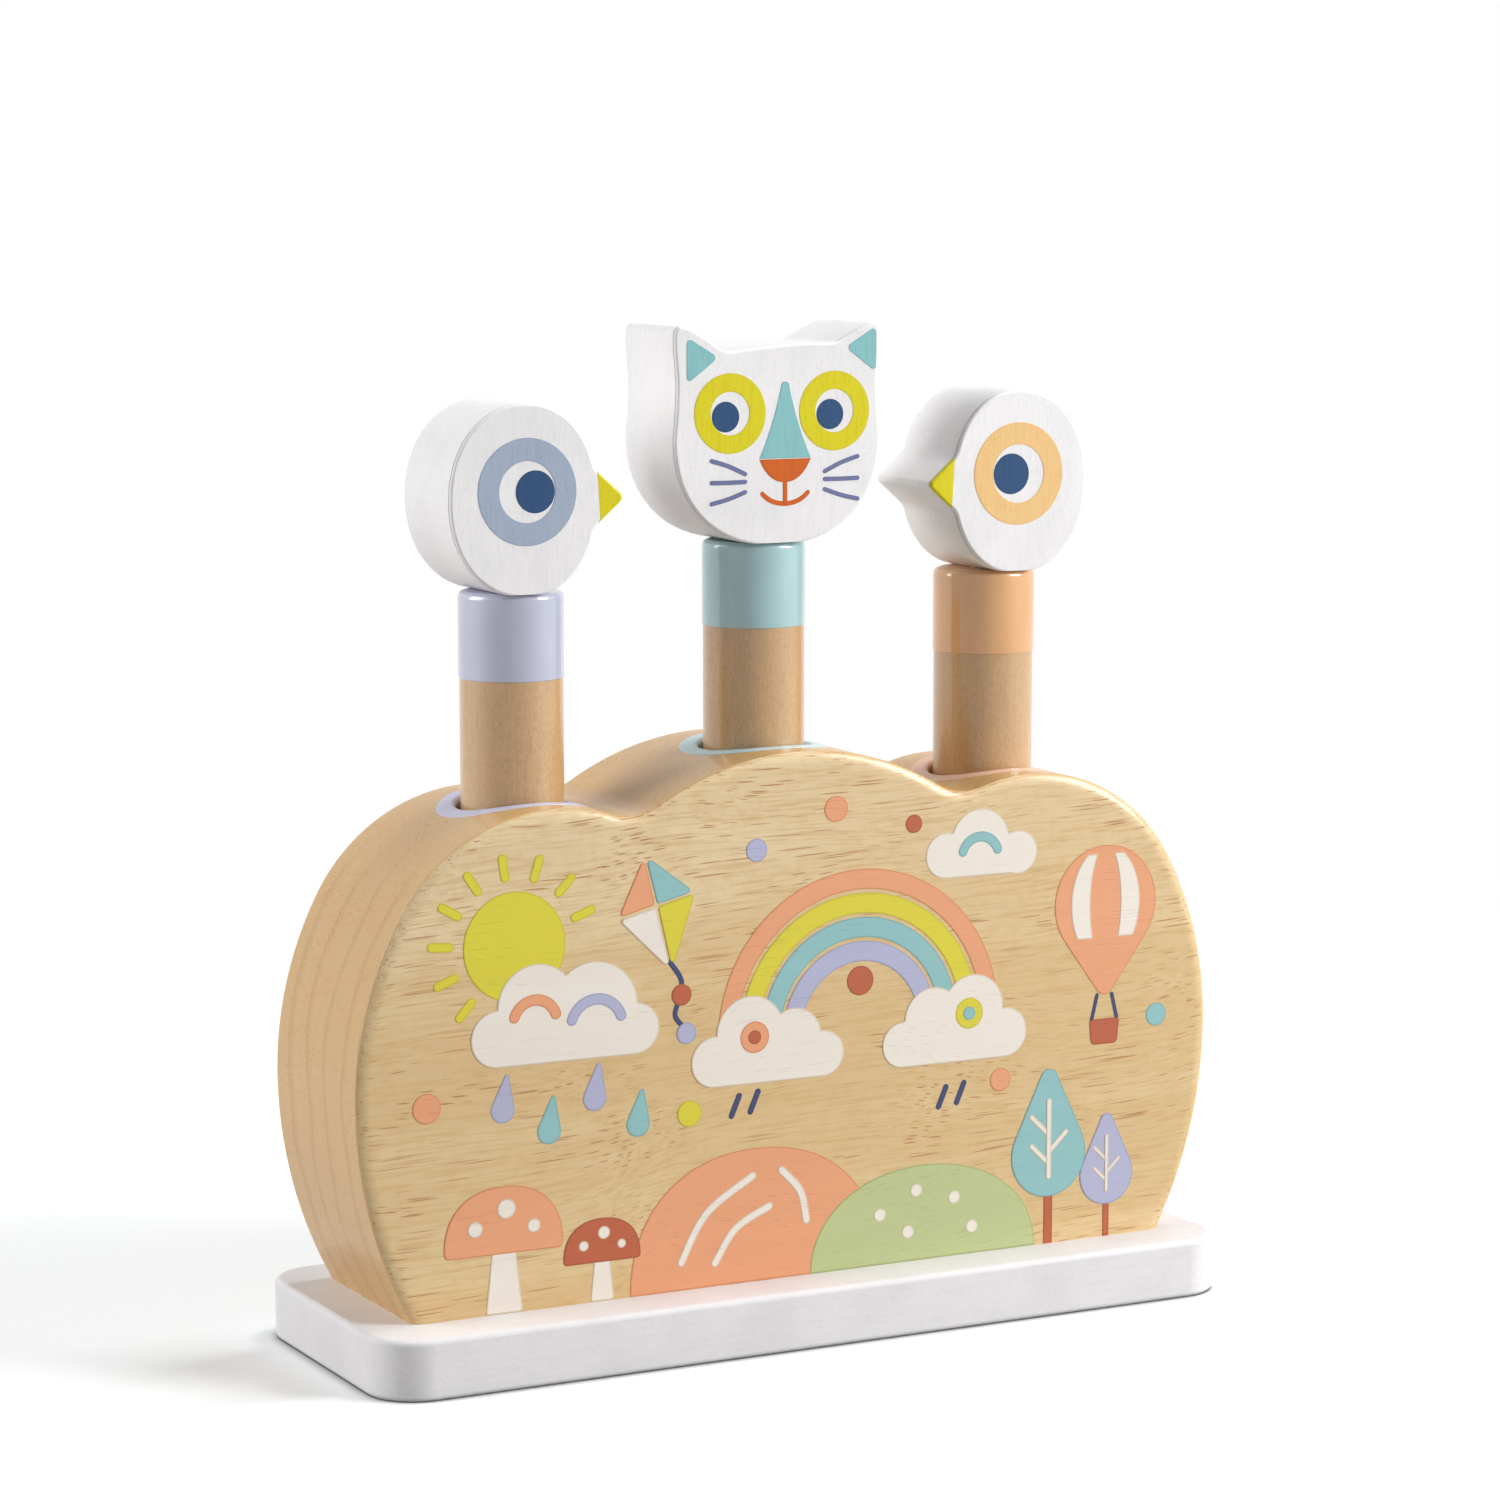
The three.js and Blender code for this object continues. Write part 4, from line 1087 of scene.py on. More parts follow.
# The dark grey for the groove's bottom is painted shade
HEAD_PAINT = WoodPaint(
    "white_paint_on_head", "#F3F1F1", 0.55, shade="#D2D1D2", painted_groove_shade="#7F7D78", grain=(0.5, 0.5, 4),
    grain_share=0.2, depth=0.015,
)  # fmt: skip
SPRING_STEEL = DrawnMetal("spring_wire_drawn", "#A8ABAD", 0.32, shade="#8F9295")
SCREW_ZINC = DrawnMetal("zinc_plated_steel", "#C2C4C4", 0.35, shade="#A3A6A8")
CUP_PLASTIC = MouldedPlastic("polypropylene_milky", "#EFECE4", 0.45, shade="#E2DED4")
LACQUERS = {
    "left": Lacquer("lilac_dip_lacquer", "#B7BAD0", 0.4, shade="#A9ACC4", slot="lilac_lacquer"),
    "centre": Lacquer("turquoise_dip_lacquer", "#9FC4C7", 0.4, shade="#8FB6BA", slot="turquoise_lacquer"),
    "right": Lacquer("peach_dip_lacquer", "#DDA264", 0.4, shade="#CF9254", slot="peach_lacquer"),
}
RING_PAINTS = {
    "left": RingPaint("lilac_ring_paint", "#CBCCE5", 0.5, shade="#B6B7D3", slot="lilac_ring"),
    "centre": RingPaint("blue_ring_paint", "#C5E0E8", 0.5, shade="#AECFD9", slot="blue_ring"),
    "right": RingPaint("peach_ring_paint", "#F0C5AD", 0.5, shade="#E0AE93", slot="peach_ring"),
}
GREY_BLUE = HeadInk("grey_blue_pad_ink", "#A6B3C6", 0.5, shade="#92A0B6", slot="grey_blue_ink")
PEACH = HeadInk("peach_pad_ink", "#F0C788", 0.5, shade="#E3B26E", slot="peach_ink")
LIME = HeadInk("lime_pad_ink", "#DFD21C", 0.5, shade="#C9BB12", slot="lime_ink")
TURQUOISE = HeadInk("turquoise_pad_ink", "#8CC4C7", 0.5, shade="#78B0B4", slot="turquoise_ink")
NAVY = HeadInk("navy_pad_ink", "#2C4F78", 0.5, shade="#234268", slot="navy_ink")
ORANGE = HeadInk("orange_pad_ink", "#D4641C", 0.5, shade="#B95213", slot="orange_ink")
VIOLET = HeadInk("violet_pad_ink", "#7278A0", 0.5, shade="#626890", slot="violet_ink")


# The toy's parts


# Where the screws that hold the block on the board stand along X
SCREW_PLACES = (-79.75, -28.5, 28.5, 79.75)


class Side(StrEnum):
    """The three pegs, by their place along X, as they are named in pieces, bodies and nodes."""

    LEFT = "left"
    CENTRE = "centre"
    RIGHT = "right"


def settle(piece: Piece, body: str, slot: str | None, *nodes: str) -> None:
    """Lets a finished piece ride on a body and stand for nodes, whose own meshes it hides.

    Args:
        piece: the piece.
        body: the body that it moves with.
        slot: the record's material slot, if it has one. It is not used.
        *nodes: the nodes that it stands for.
    """
    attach(piece, body)
    if nodes:
        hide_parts(*nodes)
    LOG.info("%s: %d faces, rides on %s", piece.name, len(piece.data.polygons), body)


@dataclass
class BaseBoard:
    """The white board: a rounded rectangle with soft edges and four sinks for its screws."""

    half_length: float = 101.8
    half_width: float = 35.0
    thickness: float = 12.9
    corner: float = 11.0
    top_edge: float = 1.3
    foot_edge: float = 1.2
    screw_hole: float = 2.15
    sink_radius: float = 4.15
    sink_top: float = 0.8
    sink_end: float = 3.4

    def outline(self, inset: float) -> Points:
        """The board's plan, moved inwards: four quarter circles round fixed centres.

        Args:
            inset: how far it is moved inwards.

        Returns:
            The outline.
        """
        x, y = self.half_length - self.corner, self.half_width - self.corner
        quarter = math.pi / 2
        centres = [(x, y), (-x, y), (-x, -y), (x, -y)]
        radius = self.corner - inset
        return np.vstack([arc(c, radius, i * quarter, (i + 1) * quarter, 24) for i, c in enumerate(centres)])

    def build(self) -> None:
        """Stacks the outline along the profile of the edge and sinks the screw holes.

        The profile's halves come from two round bars, one twice as thick as each edge's radius.
        """
        foot = edge_profile(2 * self.foot_edge, self.foot_edge, self.foot_edge, 4, 1)
        top = edge_profile(2 * self.top_edge, self.top_edge, self.top_edge, 8, 1)
        lift = [0, self.thickness - 2 * self.top_edge]
        profile = np.vstack([foot[: len(foot) // 2], top[len(top) // 2 :] + lift])
        plans = [np.insert(self.outline(inset), 2, height, axis=1) for inset, height in profile]
        draft = Draft()
        draft.solid(np.stack(plans))
        wide, narrow = self.sink_radius, self.screw_hole
        below, above = -3.0, 15.0
        sink = [(0, below), (wide, below), (wide, self.sink_top), (narrow, self.sink_end)]
        sink += [(narrow, above), (0, above)]
        cutter = Draft()
        for place in SCREW_PLACES:
            cutter.grid(turned(np.array(sink), (place, 0, 0), 48))
        board = draft.make("base_board_painted", BOARD_PAINT, cutter)
        settle(board, "toy_base", "board_white", "base_board")


@dataclass
class CloudBlock:
    """The block: three lobes joined by hollow valleys, flanks that tuck in at the foot, and three bores.

    Its outline is a chain of arcs, each of which touches the next, so that moving it inwards only changes
    their radii.
    """

    depth: float = 45.0
    edge_inset: float = 3.0
    edge_depth: float = 1.3
    foot_level: float = 12.9
    half_length: float = 102.3
    pitch: float = 57.0
    side_top: float = 117.8
    side_radius: float = 40.7
    centre_top: float = 126.2
    centre_radius: float = 65.0
    valley_radius: float = 13.0
    flank_radius: float = 78.0
    foot_tuck: float = 11.8
    bore_radius: float = 12.0
    floor_thickness: float = 8.0
    lip: float = 1.0
    ring_width: float = 4.0
    paint: float = 0.12
    root: float = 0.25
    pilot_radius: float = 2.15
    pilot_top: float = 30.95
    seat_pilot_radius: float = 1.65
    seat_pilot_depth: float = 6.15

    def arcs(self) -> list[tuple[Points, float, float, float, int]]:
        """The right half's arcs from the foot to the middle of the top.

        Returns:
            Each arc's centre, radius, first and last angle, and steps. The valley's radius is below zero,
            because its centre lies outside the block. The foot's first angle isn't known here.
        """
        centre_lobe = np.array([0, self.centre_top - self.centre_radius])
        side_lobe = np.array([self.pitch, self.side_top - self.side_radius])
        reaches = [radius + self.valley_radius for radius in (self.centre_radius, self.side_radius)]
        valley = meeting_point(centre_lobe, reaches[0], side_lobe, reaches[1])
        across = self.half_length - self.flank_radius - self.pitch
        down = math.sqrt((self.flank_radius - self.side_radius) ** 2 - across**2)
        flank = np.array([self.half_length - self.flank_radius, side_lobe[1] - down])
        rise = flank[1] - self.foot_level
        foot_radius = (rise**2 + self.foot_tuck**2) / (2 * self.foot_tuck)
        foot = np.array([self.half_length - foot_radius, flank[1]])
        to_side = heading(flank, side_lobe)
        return [
            (foot, foot_radius, math.nan, 0, 20),
            (flank, self.flank_radius, 0, to_side, 20),
            (side_lobe, self.side_radius, to_side, heading(side_lobe, valley), 64),
            (valley, -self.valley_radius, heading(valley, side_lobe), heading(valley, centre_lobe), 24),
            (centre_lobe, self.centre_radius, heading(centre_lobe, valley), math.pi / 2, 28),
        ]

    def outline(self, inset: float) -> Points:
        """The block's outline, moved inwards, from the right end of the foot over the lobes to the left end.

        The foot's arc starts where it meets the board: at the angle whose sine is the drop over the radius.

        Args:
            inset: how far it is moved inwards.

        Returns:
            An open line in X and Z.
        """
        rows = []
        for centre, radius, start, end, steps in self.arcs():
            smaller = radius - inset
            first = -math.asin((centre[1] - self.foot_level) / smaller) if math.isnan(start) else start
            rows.append(arc(centre, abs(smaller), first, end, steps)[1 if rows else 0 :])
        right = np.vstack(rows)
        return np.vstack([right, right[-2::-1] * [-1, 1]])

    def mouth(self, side: Side, radius: Points, angle: Points) -> Points:
        """The height of a lobe's top at a distance from its bore's axis: lobe centre + sqrt(R^2 - x^2).

        Args:
            side: the lobe.
            radius: the distance from the axis.
            angle: the angle round the axis.

        Returns:
            The height.
        """
        middle = side is Side.CENTRE
        top, lobe = (self.centre_top, self.centre_radius) if middle else (self.side_top, self.side_radius)
        return top - lobe + np.sqrt(lobe**2 - (radius * np.cos(angle)) ** 2)

    def station(self, side: Side) -> tuple[float, float]:
        """Where a bore stands.

        Args:
            side: the bore.

        Returns:
            Its axis's X and the height of its floor.
        """
        x = {Side.LEFT: -self.pitch, Side.CENTRE: 0.0, Side.RIGHT: self.pitch}[side]
        rise = self.centre_top - self.side_top if side is Side.CENTRE else 0.0
        return x, self.foot_level + self.floor_thickness + rise

    def bore(self, side: Side) -> Points:
        """The cutter for a bore, its screw's pilot and its rounded mouth: radius and height for each angle.

        The mouth is the lobe's top less a quarter circle: lip - sqrt(lip^2 - (bore radius + lip - r)^2).

        Args:
            side: the bore.

        Returns:
            A grid whose columns wrap.
        """
        x, floor = self.station(side)
        steps = 128
        angle = np.arange(steps) * 2 * math.pi / steps
        turn = np.linspace(0, math.radians(84), 9)[:, None]
        radius = self.bore_radius + self.lip * (1 - np.cos(turn))
        drop = self.lip * (1 - np.sin(turn))
        lip = self.mouth(side, radius, angle) - drop
        above = self.side_top + 30
        pilot, deep = self.seat_pilot_radius, floor - self.seat_pilot_depth
        lower = np.array([[0, deep], [pilot, deep], [pilot, floor], [self.bore_radius, floor]])
        radii = np.vstack([lower[:, :1], radius, radius[-1:], [[0.0]]]) + 0 * angle
        heights = np.vstack([lower[:, 1:] + 0 * angle, lip, np.full((2, steps), above)])
        return np.stack([x + radii * np.cos(angle), radii * np.sin(angle), heights], axis=-1)

    def build_block(self) -> None:
        """Stacks the outline along the profile of the edge, closes it and cuts the bores and pilot holes."""
        profile = edge_profile(self.depth, self.edge_inset, self.edge_depth, 12, 12)
        rows = [self.outline(inset) for inset in profile[:, 0]]
        grid = stacked(rows, profile[:, 1] - self.depth / 2)
        draft = Draft()
        draft.grid(grid, wrap_columns=False)
        draft.cap(grid[0])
        draft.cap(grid[-1])
        draft.cap(np.vstack([grid[:, 0], grid[::-1, -1]]))
        cutter = Draft()
        for side in Side:
            cutter.grid(self.bore(side))
        low, high, radius = 7.0, self.pilot_top, self.pilot_radius
        pilot = np.array([[0, low], [radius, low], [radius, high], [0, high]])
        for place in SCREW_PLACES:
            cutter.grid(turned(pilot, (place, 0, 0), 32))
        block = draft.make("cloud_block_wood", BLOCK_WOOD, cutter)
        settle(block, "toy_base", "block_wood", "cloud_block")

    def build_ring(self, side: Side) -> None:
        """Lays the paint round a bore's mouth: over the lobe's top, round the lip and a little way down.

        The lip is a quarter circle of lip + paint round a centre in the wood, carried round the bore. The
        film closes in the wood, a root below its surface.

        Args:
            side: the bore.
        """
        x, _ = self.station(side)
        angle = np.arange(160) * 2 * math.pi / 160
        turn = np.linspace(0, math.pi / 2, 9)
        reach = self.bore_radius + self.lip
        outer = self.bore_radius + self.ring_width
        lip_radius = reach - (self.lip + self.paint) * np.cos(turn)
        lip_height = (self.lip + self.paint) * np.sin(turn) - self.lip
        flat = np.linspace(reach, outer - self.root, 5)[1:]
        spans = [
            ([self.bore_radius + 0.2, self.bore_radius - self.paint / 2], [-self.lip - 0.9, -self.lip - 0.9]),
            (lip_radius, lip_height),
            (flat, np.full(4, self.paint)),
            ([outer - 0.05, outer, outer - 0.3], [self.paint * 0.7, -0.05, -self.root]),
            ([reach, self.bore_radius + self.root], [-self.root, -self.lip]),
        ]
        radius = np.concatenate([np.asarray(r, float) for r, _ in spans])[:, None]
        height = np.concatenate([np.asarray(h, float) for _, h in spans])[:, None]
        top = self.mouth(side, np.maximum(radius, self.bore_radius), angle)
        grid = np.stack([x + radius * np.cos(angle), radius * np.sin(angle), top + height], axis=-1)
        draft = Draft()
        draft.grid(grid, wrap_rows=True)
        paint = RING_PAINTS[side]
        settle(draft.make(f"{side}_mouth_ring_paint", paint), "toy_base", paint.slot, f"{side}_mouth_ring")

    def build(self) -> None:
        """Builds the block and its three rings."""
        self.build_block()
        for side in Side:
            self.build_ring(side)


def heading(start: Points, target: Points) -> float:
    """The angle of the way from one point to another.

    Args:
        start: the one.
        target: the other.

    Returns:
        The angle in radians.
    """
    return math.atan2(target[1] - start[1], target[0] - start[0])


def meeting_point(a: Points, from_a: float, b: Points, from_b: float) -> Points:
    """The point at one distance from a and another from b, on the left of the way from a to b.

    Args:
        a: the first point.
        from_a: the distance from it.
        b: the second point.
        from_b: the distance from it.

    Returns:
        The point.
    """
    way = b - a
    span = math.hypot(*way)
    along = (from_a**2 - from_b**2 + span**2) / (2 * span)
    aside = math.sqrt(from_a**2 - along**2)
    return a + way / span * along + np.array([-way[1], way[0]]) / span * aside


@dataclass
class SpringWell:
    """What stands in a bore below a peg: a seat with its screw, a spring, and a cap that the peg rests on."""

    side: Side
    x: float
    floor: float
    length: float = 41.7
    seat: float = 3.0
    cap: float = 3.0
    stub: float = 3.0
    screw_hole: float = 1.65
    head_well: float = 4.0
    disc_radius: float = 11.5
    stub_radius: float = 7.4
    coil_radius: float = 9.3
    wire_radius: float = 0.6
    coils: int = 9
    dead_rise: float = 1.7
    clear: float = 0.15
    travel: float = 30.0

    @property
    def top(self) -> float:
        """The height of the cap's upper face, on which the peg stands."""
        return self.floor + self.seat + self.length + self.cap

    def build_cups(self) -> None:
        """Turns the seat, which is bored for its screw, and the cap."""
        stub, disc = self.stub_radius, self.disc_radius
        seat_top, stub_top = self.seat, self.seat + self.stub
        hole, well = self.screw_hole, self.head_well
        seat = rounded([
            (hole, 0, 0), (disc, 0, 0.3), (disc, seat_top, 0.5), (stub, seat_top, 0.15),
            (stub, stub_top, 0.5), (well, stub_top, 0.3), (well, seat_top, 0.15), (hole, seat_top, 0.15),
        ])  # fmt: skip
        draft = Draft()
        draft.grid(turned(seat, (self.x, 0, self.floor)), wrap_rows=True)
        cup = draft.make(f"{self.side}_seat_cup", CUP_PLASTIC)
        settle(cup, "toy_base", "cup_plastic", f"{self.side}_spring_seat")
        low, top = -self.stub, self.cap
        cap = rounded([
            (0, low, 0), (stub, low, 0.5), (stub, 0, 0.15), (disc, 0, 0.3), (disc, top, 0.5), (0, top, 0),
        ], closed=False)  # fmt: skip
        draft = Draft()
        draft.grid(turned(cap, (self.x, 0, self.floor + self.seat + self.length)))
        piece = draft.make(f"{self.side}_cap_cup", CUP_PLASTIC)
        settle(piece, f"{self.side}_cap_body", "cup_plastic", f"{self.side}_spring_cap")

    def build_spring(self) -> None:
        """Winds the wire: dead coils at both ends and evenly open ones between them, at 40 steps a turn."""
        turns = np.linspace(0, self.coils, self.coils * 40 + 1)
        low = self.wire_radius + self.clear
        high = self.length - low
        knots = [0, 1, self.coils - 1, self.coils]
        height = np.interp(turns, knots, [low, low + self.dead_rise, high - self.dead_rise, high])
        angle = 2 * math.pi * turns
        flat = [self.coil_radius * np.cos(angle), self.coil_radius * np.sin(angle), height]
        draft = Draft()
        draft.solid(wire(np.stack(flat, axis=-1), self.wire_radius, 10) + [self.x, 0, self.floor + self.seat])
        spring = draft.make(f"{self.side}_spring_wire", SPRING_STEEL)
        settle(spring, f"{self.side}_spring_body", "spring_steel", f"{self.side}_spring")
        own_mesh(spring)

    def build(self) -> None:
        """Builds the cups and the spring."""
        self.build_cups()
        self.build_spring()


@dataclass
class Peg:
    """A round stick with soft rims, whose top end is dipped in lacquer."""

    side: Side
    x: float
    foot: float
    radius: float = 10.9
    length: float = 92.3
    rim: float = 1.2
    band: float = 18.0
    paint: float = 0.2
    root: float = 0.1
    pin_hole: float = 3.15
    pin_depth: float = 10.0

    @property
    def upper_end(self) -> float:
        """The height of the lacquered upper end, on which the head stands."""
        return self.foot + self.length + self.paint

    def build(self) -> None:
        """Turns the stick and the lacquer, which thickens to a soft lip at its lower end."""
        body = f"{self.side}_peg_body"
        top, radius, hole = self.length, self.radius, self.pin_hole
        deep = top - self.pin_depth
        stick = rounded([
            (0, 0, 0), (radius, 0, self.rim), (radius, top, self.rim), (hole, top, 0), (hole, deep, 0),
            (0, deep, 0),
        ], steps=8, closed=False)  # fmt: skip
        draft = Draft()
        draft.grid(turned(stick, (self.x, 0, self.foot), 128))
        piece = draft.make(f"{self.side}_peg_stick", PEG_WOOD)
        settle(piece, body, "peg_wood", f"{self.side}_peg")
        low, skin, inner = top - self.band, self.paint, radius - self.root
        outer, upper = radius + skin, top + skin
        lacquer = rounded([
            (inner, low, 0), (outer, low, 0.14), (outer, upper, self.rim + skin), (hole, upper, 0),
            (hole, top, 0), (inner, top, self.rim),
        ], steps=10)  # fmt: skip
        draft = Draft()
        draft.grid(turned(lacquer, (self.x, 0, self.foot), 128), wrap_rows=True)
        finish = LACQUERS[self.side]
        settle(draft.make(f"{self.side}_peg_lacquer", finish), body, finish.slot, f"{self.side}_peg_band")


@dataclass
class Head:
    """A painted board that stands on its edge: what the birds and the cat have in common."""

    side: Side
    x: float
    stand: float
    drop: float
    thickness: float = 24.0
    edge: float = 0.6
    seat_cut: float = 0.5
    groove_place: float = 0.95
    groove_depth: float = 0.12
    groove_half: float = 0.22
    groove_flat: float = 0.08
    pin_hole: float = 3.15
    pin_depth: float = 10.0

    def outline(self) -> Points:
        """The head's outline round its own middle, counterclockwise. Each kind of head has its own."""
        raise NotImplementedError

    @property
    def middle(self) -> float:
        """The height of the head's middle: its lowest point would lie a seat cut below the peg's end."""
        return self.stand - self.seat_cut + self.drop

    @property
    def body(self) -> str:
        """The body that the head rides on."""
        return f"{self.side}_peg_body"

    @property
    def front(self) -> float:
        """The front face's Y."""
        return -self.thickness / 2

    def board(self, name: str, node: str) -> None:
        """Stacks the outline along the edge's profile, with a groove behind the front, and cuts it flat.

        Args:
            name: the piece's name.
            node: the node that it stands for.
        """
        loop = self.outline()
        seat = self.seat_cut - self.drop
        steps = 5
        profile = edge_profile(self.thickness, self.edge, self.edge, steps, 1)
        depth, rim, flat = self.groove_depth, self.groove_half, self.groove_flat
        groove = np.array([[0, -rim], [depth, -flat], [depth, flat], [0, rim]])
        profile = np.vstack([profile[: steps + 1], groove + [0, self.groove_place], profile[steps + 1 :]])
        # The groove's bottom row is where painted shade goes
        painted_groove_shade = np.where(profile[:, 0] == self.groove_depth, 1.0, 0.0)
        rows = [np.maximum(inward(loop, inset), [-np.inf, seat]) for inset, _ in profile]
        grid = stacked(rows, self.front + profile[:, 1])
        draft = Draft()
        draft.solid(grid + [self.x, 0, self.middle], painted_groove_shade)
        low, high = seat - 2, seat + self.pin_depth
        hole = np.array([[0, low], [self.pin_hole, low], [self.pin_hole, high], [0, high]])
        cutter = Draft()
        cutter.grid(turned(hole, (self.x, 0, self.middle), 32))
        head = draft.make(name, HEAD_PAINT, cutter)
        settle(head, self.body, "head_white", node)

    def ink(self, finish: HeadInk, node: str, areas: Sequence[Points]) -> None:
        """Prints areas of one ink on the front.

        Args:
            finish: the ink.
            node: the node that it stands for.
            areas: their outlines round the head's middle.
        """
        draft = Draft()
        for area in areas:
            Film().area(draft, area + [self.x, self.middle], self.front)
        settle(draft.make(f"{node}_ink", finish), self.body, finish.slot, node)

    def ring(self, finish: HeadInk, node: str, place: Sequence[float], radii: Sequence[float]) -> None:
        """Prints a ring of ink on the front.

        Args:
            finish: the ink.
            node: the node that it stands for.
            place: its centre from the head's middle.
            radii: its outer and inner radius.
        """
        draft = Draft()
        Film().ring(draft, (self.x + place[0], self.middle + place[1]), *radii, self.front)
        settle(draft.make(f"{node}_ink", finish), self.body, finish.slot, node)


@dataclass
class BirdHead(Head):
    """A bird's head: an oval, fuller at the beak's side, with a short beak and one large eye."""

    drop: float = 19.8
    facing: int = 1
    ring_ink: HeadInk = GREY_BLUE
    half_height: float = 19.8
    back: float = 17.0
    back_power: float = 2.1
    front_half: float = 16.1
    front_power: float = 2.15
    shift: float = 1.7
    beak_reach: float = 21.9
    beak_half: float = 6.0
    beak_blend: float = 1.5
    beak_tip: float = 1.2
    print_root: tuple[float, float] = (14.2, 14.8)
    ring_radii: tuple[float, float] = (11.1, 6.35)
    ring_rise: float = 1.8
    ring_shift: float = 0.2
    pupil: float = 4.4
    pupil_shift: float = 1.8

    def beak_root(self) -> float:
        """How far from the oval's centre the beak leaves it, from the oval's own formula."""
        rise = (self.beak_half / self.half_height) ** self.front_power
        return self.front_half * (1 - rise) ** (1 / self.front_power)

    def beak_line(self) -> tuple[Points, Points]:
        """The beak's tip, a circle's arc, and its upper side, which touches that circle.

        Returns:
            The arc's points from the middle up, and the side's end at the root.
        """
        root = np.array([self.beak_root(), self.beak_half])
        tip = np.array([self.beak_reach - self.beak_tip, 0])
        angle = heading(tip, root) - math.acos(self.beak_tip / math.dist(tip, root))
        return arc(tip, self.beak_tip, 0, angle, 8), root

    def upper_half(self) -> Points:
        """The outline's upper half for a beak towards +X: back, front, the beak's root and half its tip.

        The beak's side is the line from its root that touches the tip's circle.

        Returns:
            Points from the tip over the top to the back.
        """
        quarter = math.pi / 2
        blend = (self.beak_half + self.beak_blend) / self.half_height
        root_angle = math.asin(blend ** (self.front_power / 2))
        front = oval(self.front_half, self.half_height, self.front_power, root_angle, quarter, 40)
        back = oval(self.back, self.half_height, self.back_power, quarter, 2 * quarter, 40)[1:]
        tip_points, root = self.beak_line()
        way = tip_points[-1] - root
        on_beak = root + way / math.hypot(*way) * self.beak_blend
        t = np.linspace(0, 1, 7)[:-1, None]
        bend = (1 - t) ** 2 * on_beak + 2 * t * (1 - t) * root + t**2 * front[0]
        return np.vstack([tip_points, bend, front, back])

    def outline(self) -> Points:
        """The whole outline: the upper half and its mirror image, with the beak to the bird's side."""
        upper = self.upper_half()
        loop = np.vstack([upper, upper[-2:0:-1] * [1, -1]])
        return counterclockwise((loop - [self.shift, 0]) * [self.facing, 1])

    def beak_area(self) -> Points:
        """The beak's outline up to a slanted line near its root, round the head's middle.

        Returns:
            The outline, counterclockwise.
        """
        tip_points, root = self.beak_line()
        low, high = self.print_root[1] + self.shift, self.print_root[0] + self.shift
        side = [np.interp(x, *np.transpose([root, tip_points[-1]])) for x in (high, low)]
        upper = np.vstack([tip_points, [[high, side[0]]]])
        lower = np.vstack([[[low, -side[1]]], tip_points[:0:-1] * [1, -1]])
        return counterclockwise((np.vstack([upper, lower]) - [self.shift, 0]) * [self.facing, 1])

    def build(self) -> None:
        """Builds the head and its print."""
        side = self.side
        self.board(f"{side}_bird_head_painted", f"{side}_bird_head")
        eye = np.array([self.facing * (self.ring_shift - self.shift), self.ring_rise])
        parts = ("eye_ring", "pupil", "beak_print")
        ring_node, pupil_node, beak_node = (f"{side}_bird_{part}" for part in parts)
        self.ring(self.ring_ink, ring_node, eye, self.ring_radii)
        self.ink(NAVY, pupil_node, [circle(eye + [self.facing * self.pupil_shift, 0], self.pupil)])
        draft = Draft()
        Film().over_edge(draft, self.beak_area() + [self.x, self.middle], self.front, self.edge)
        settle(draft.make(f"{beak_node}_ink", LIME), self.body, LIME.slot, beak_node)


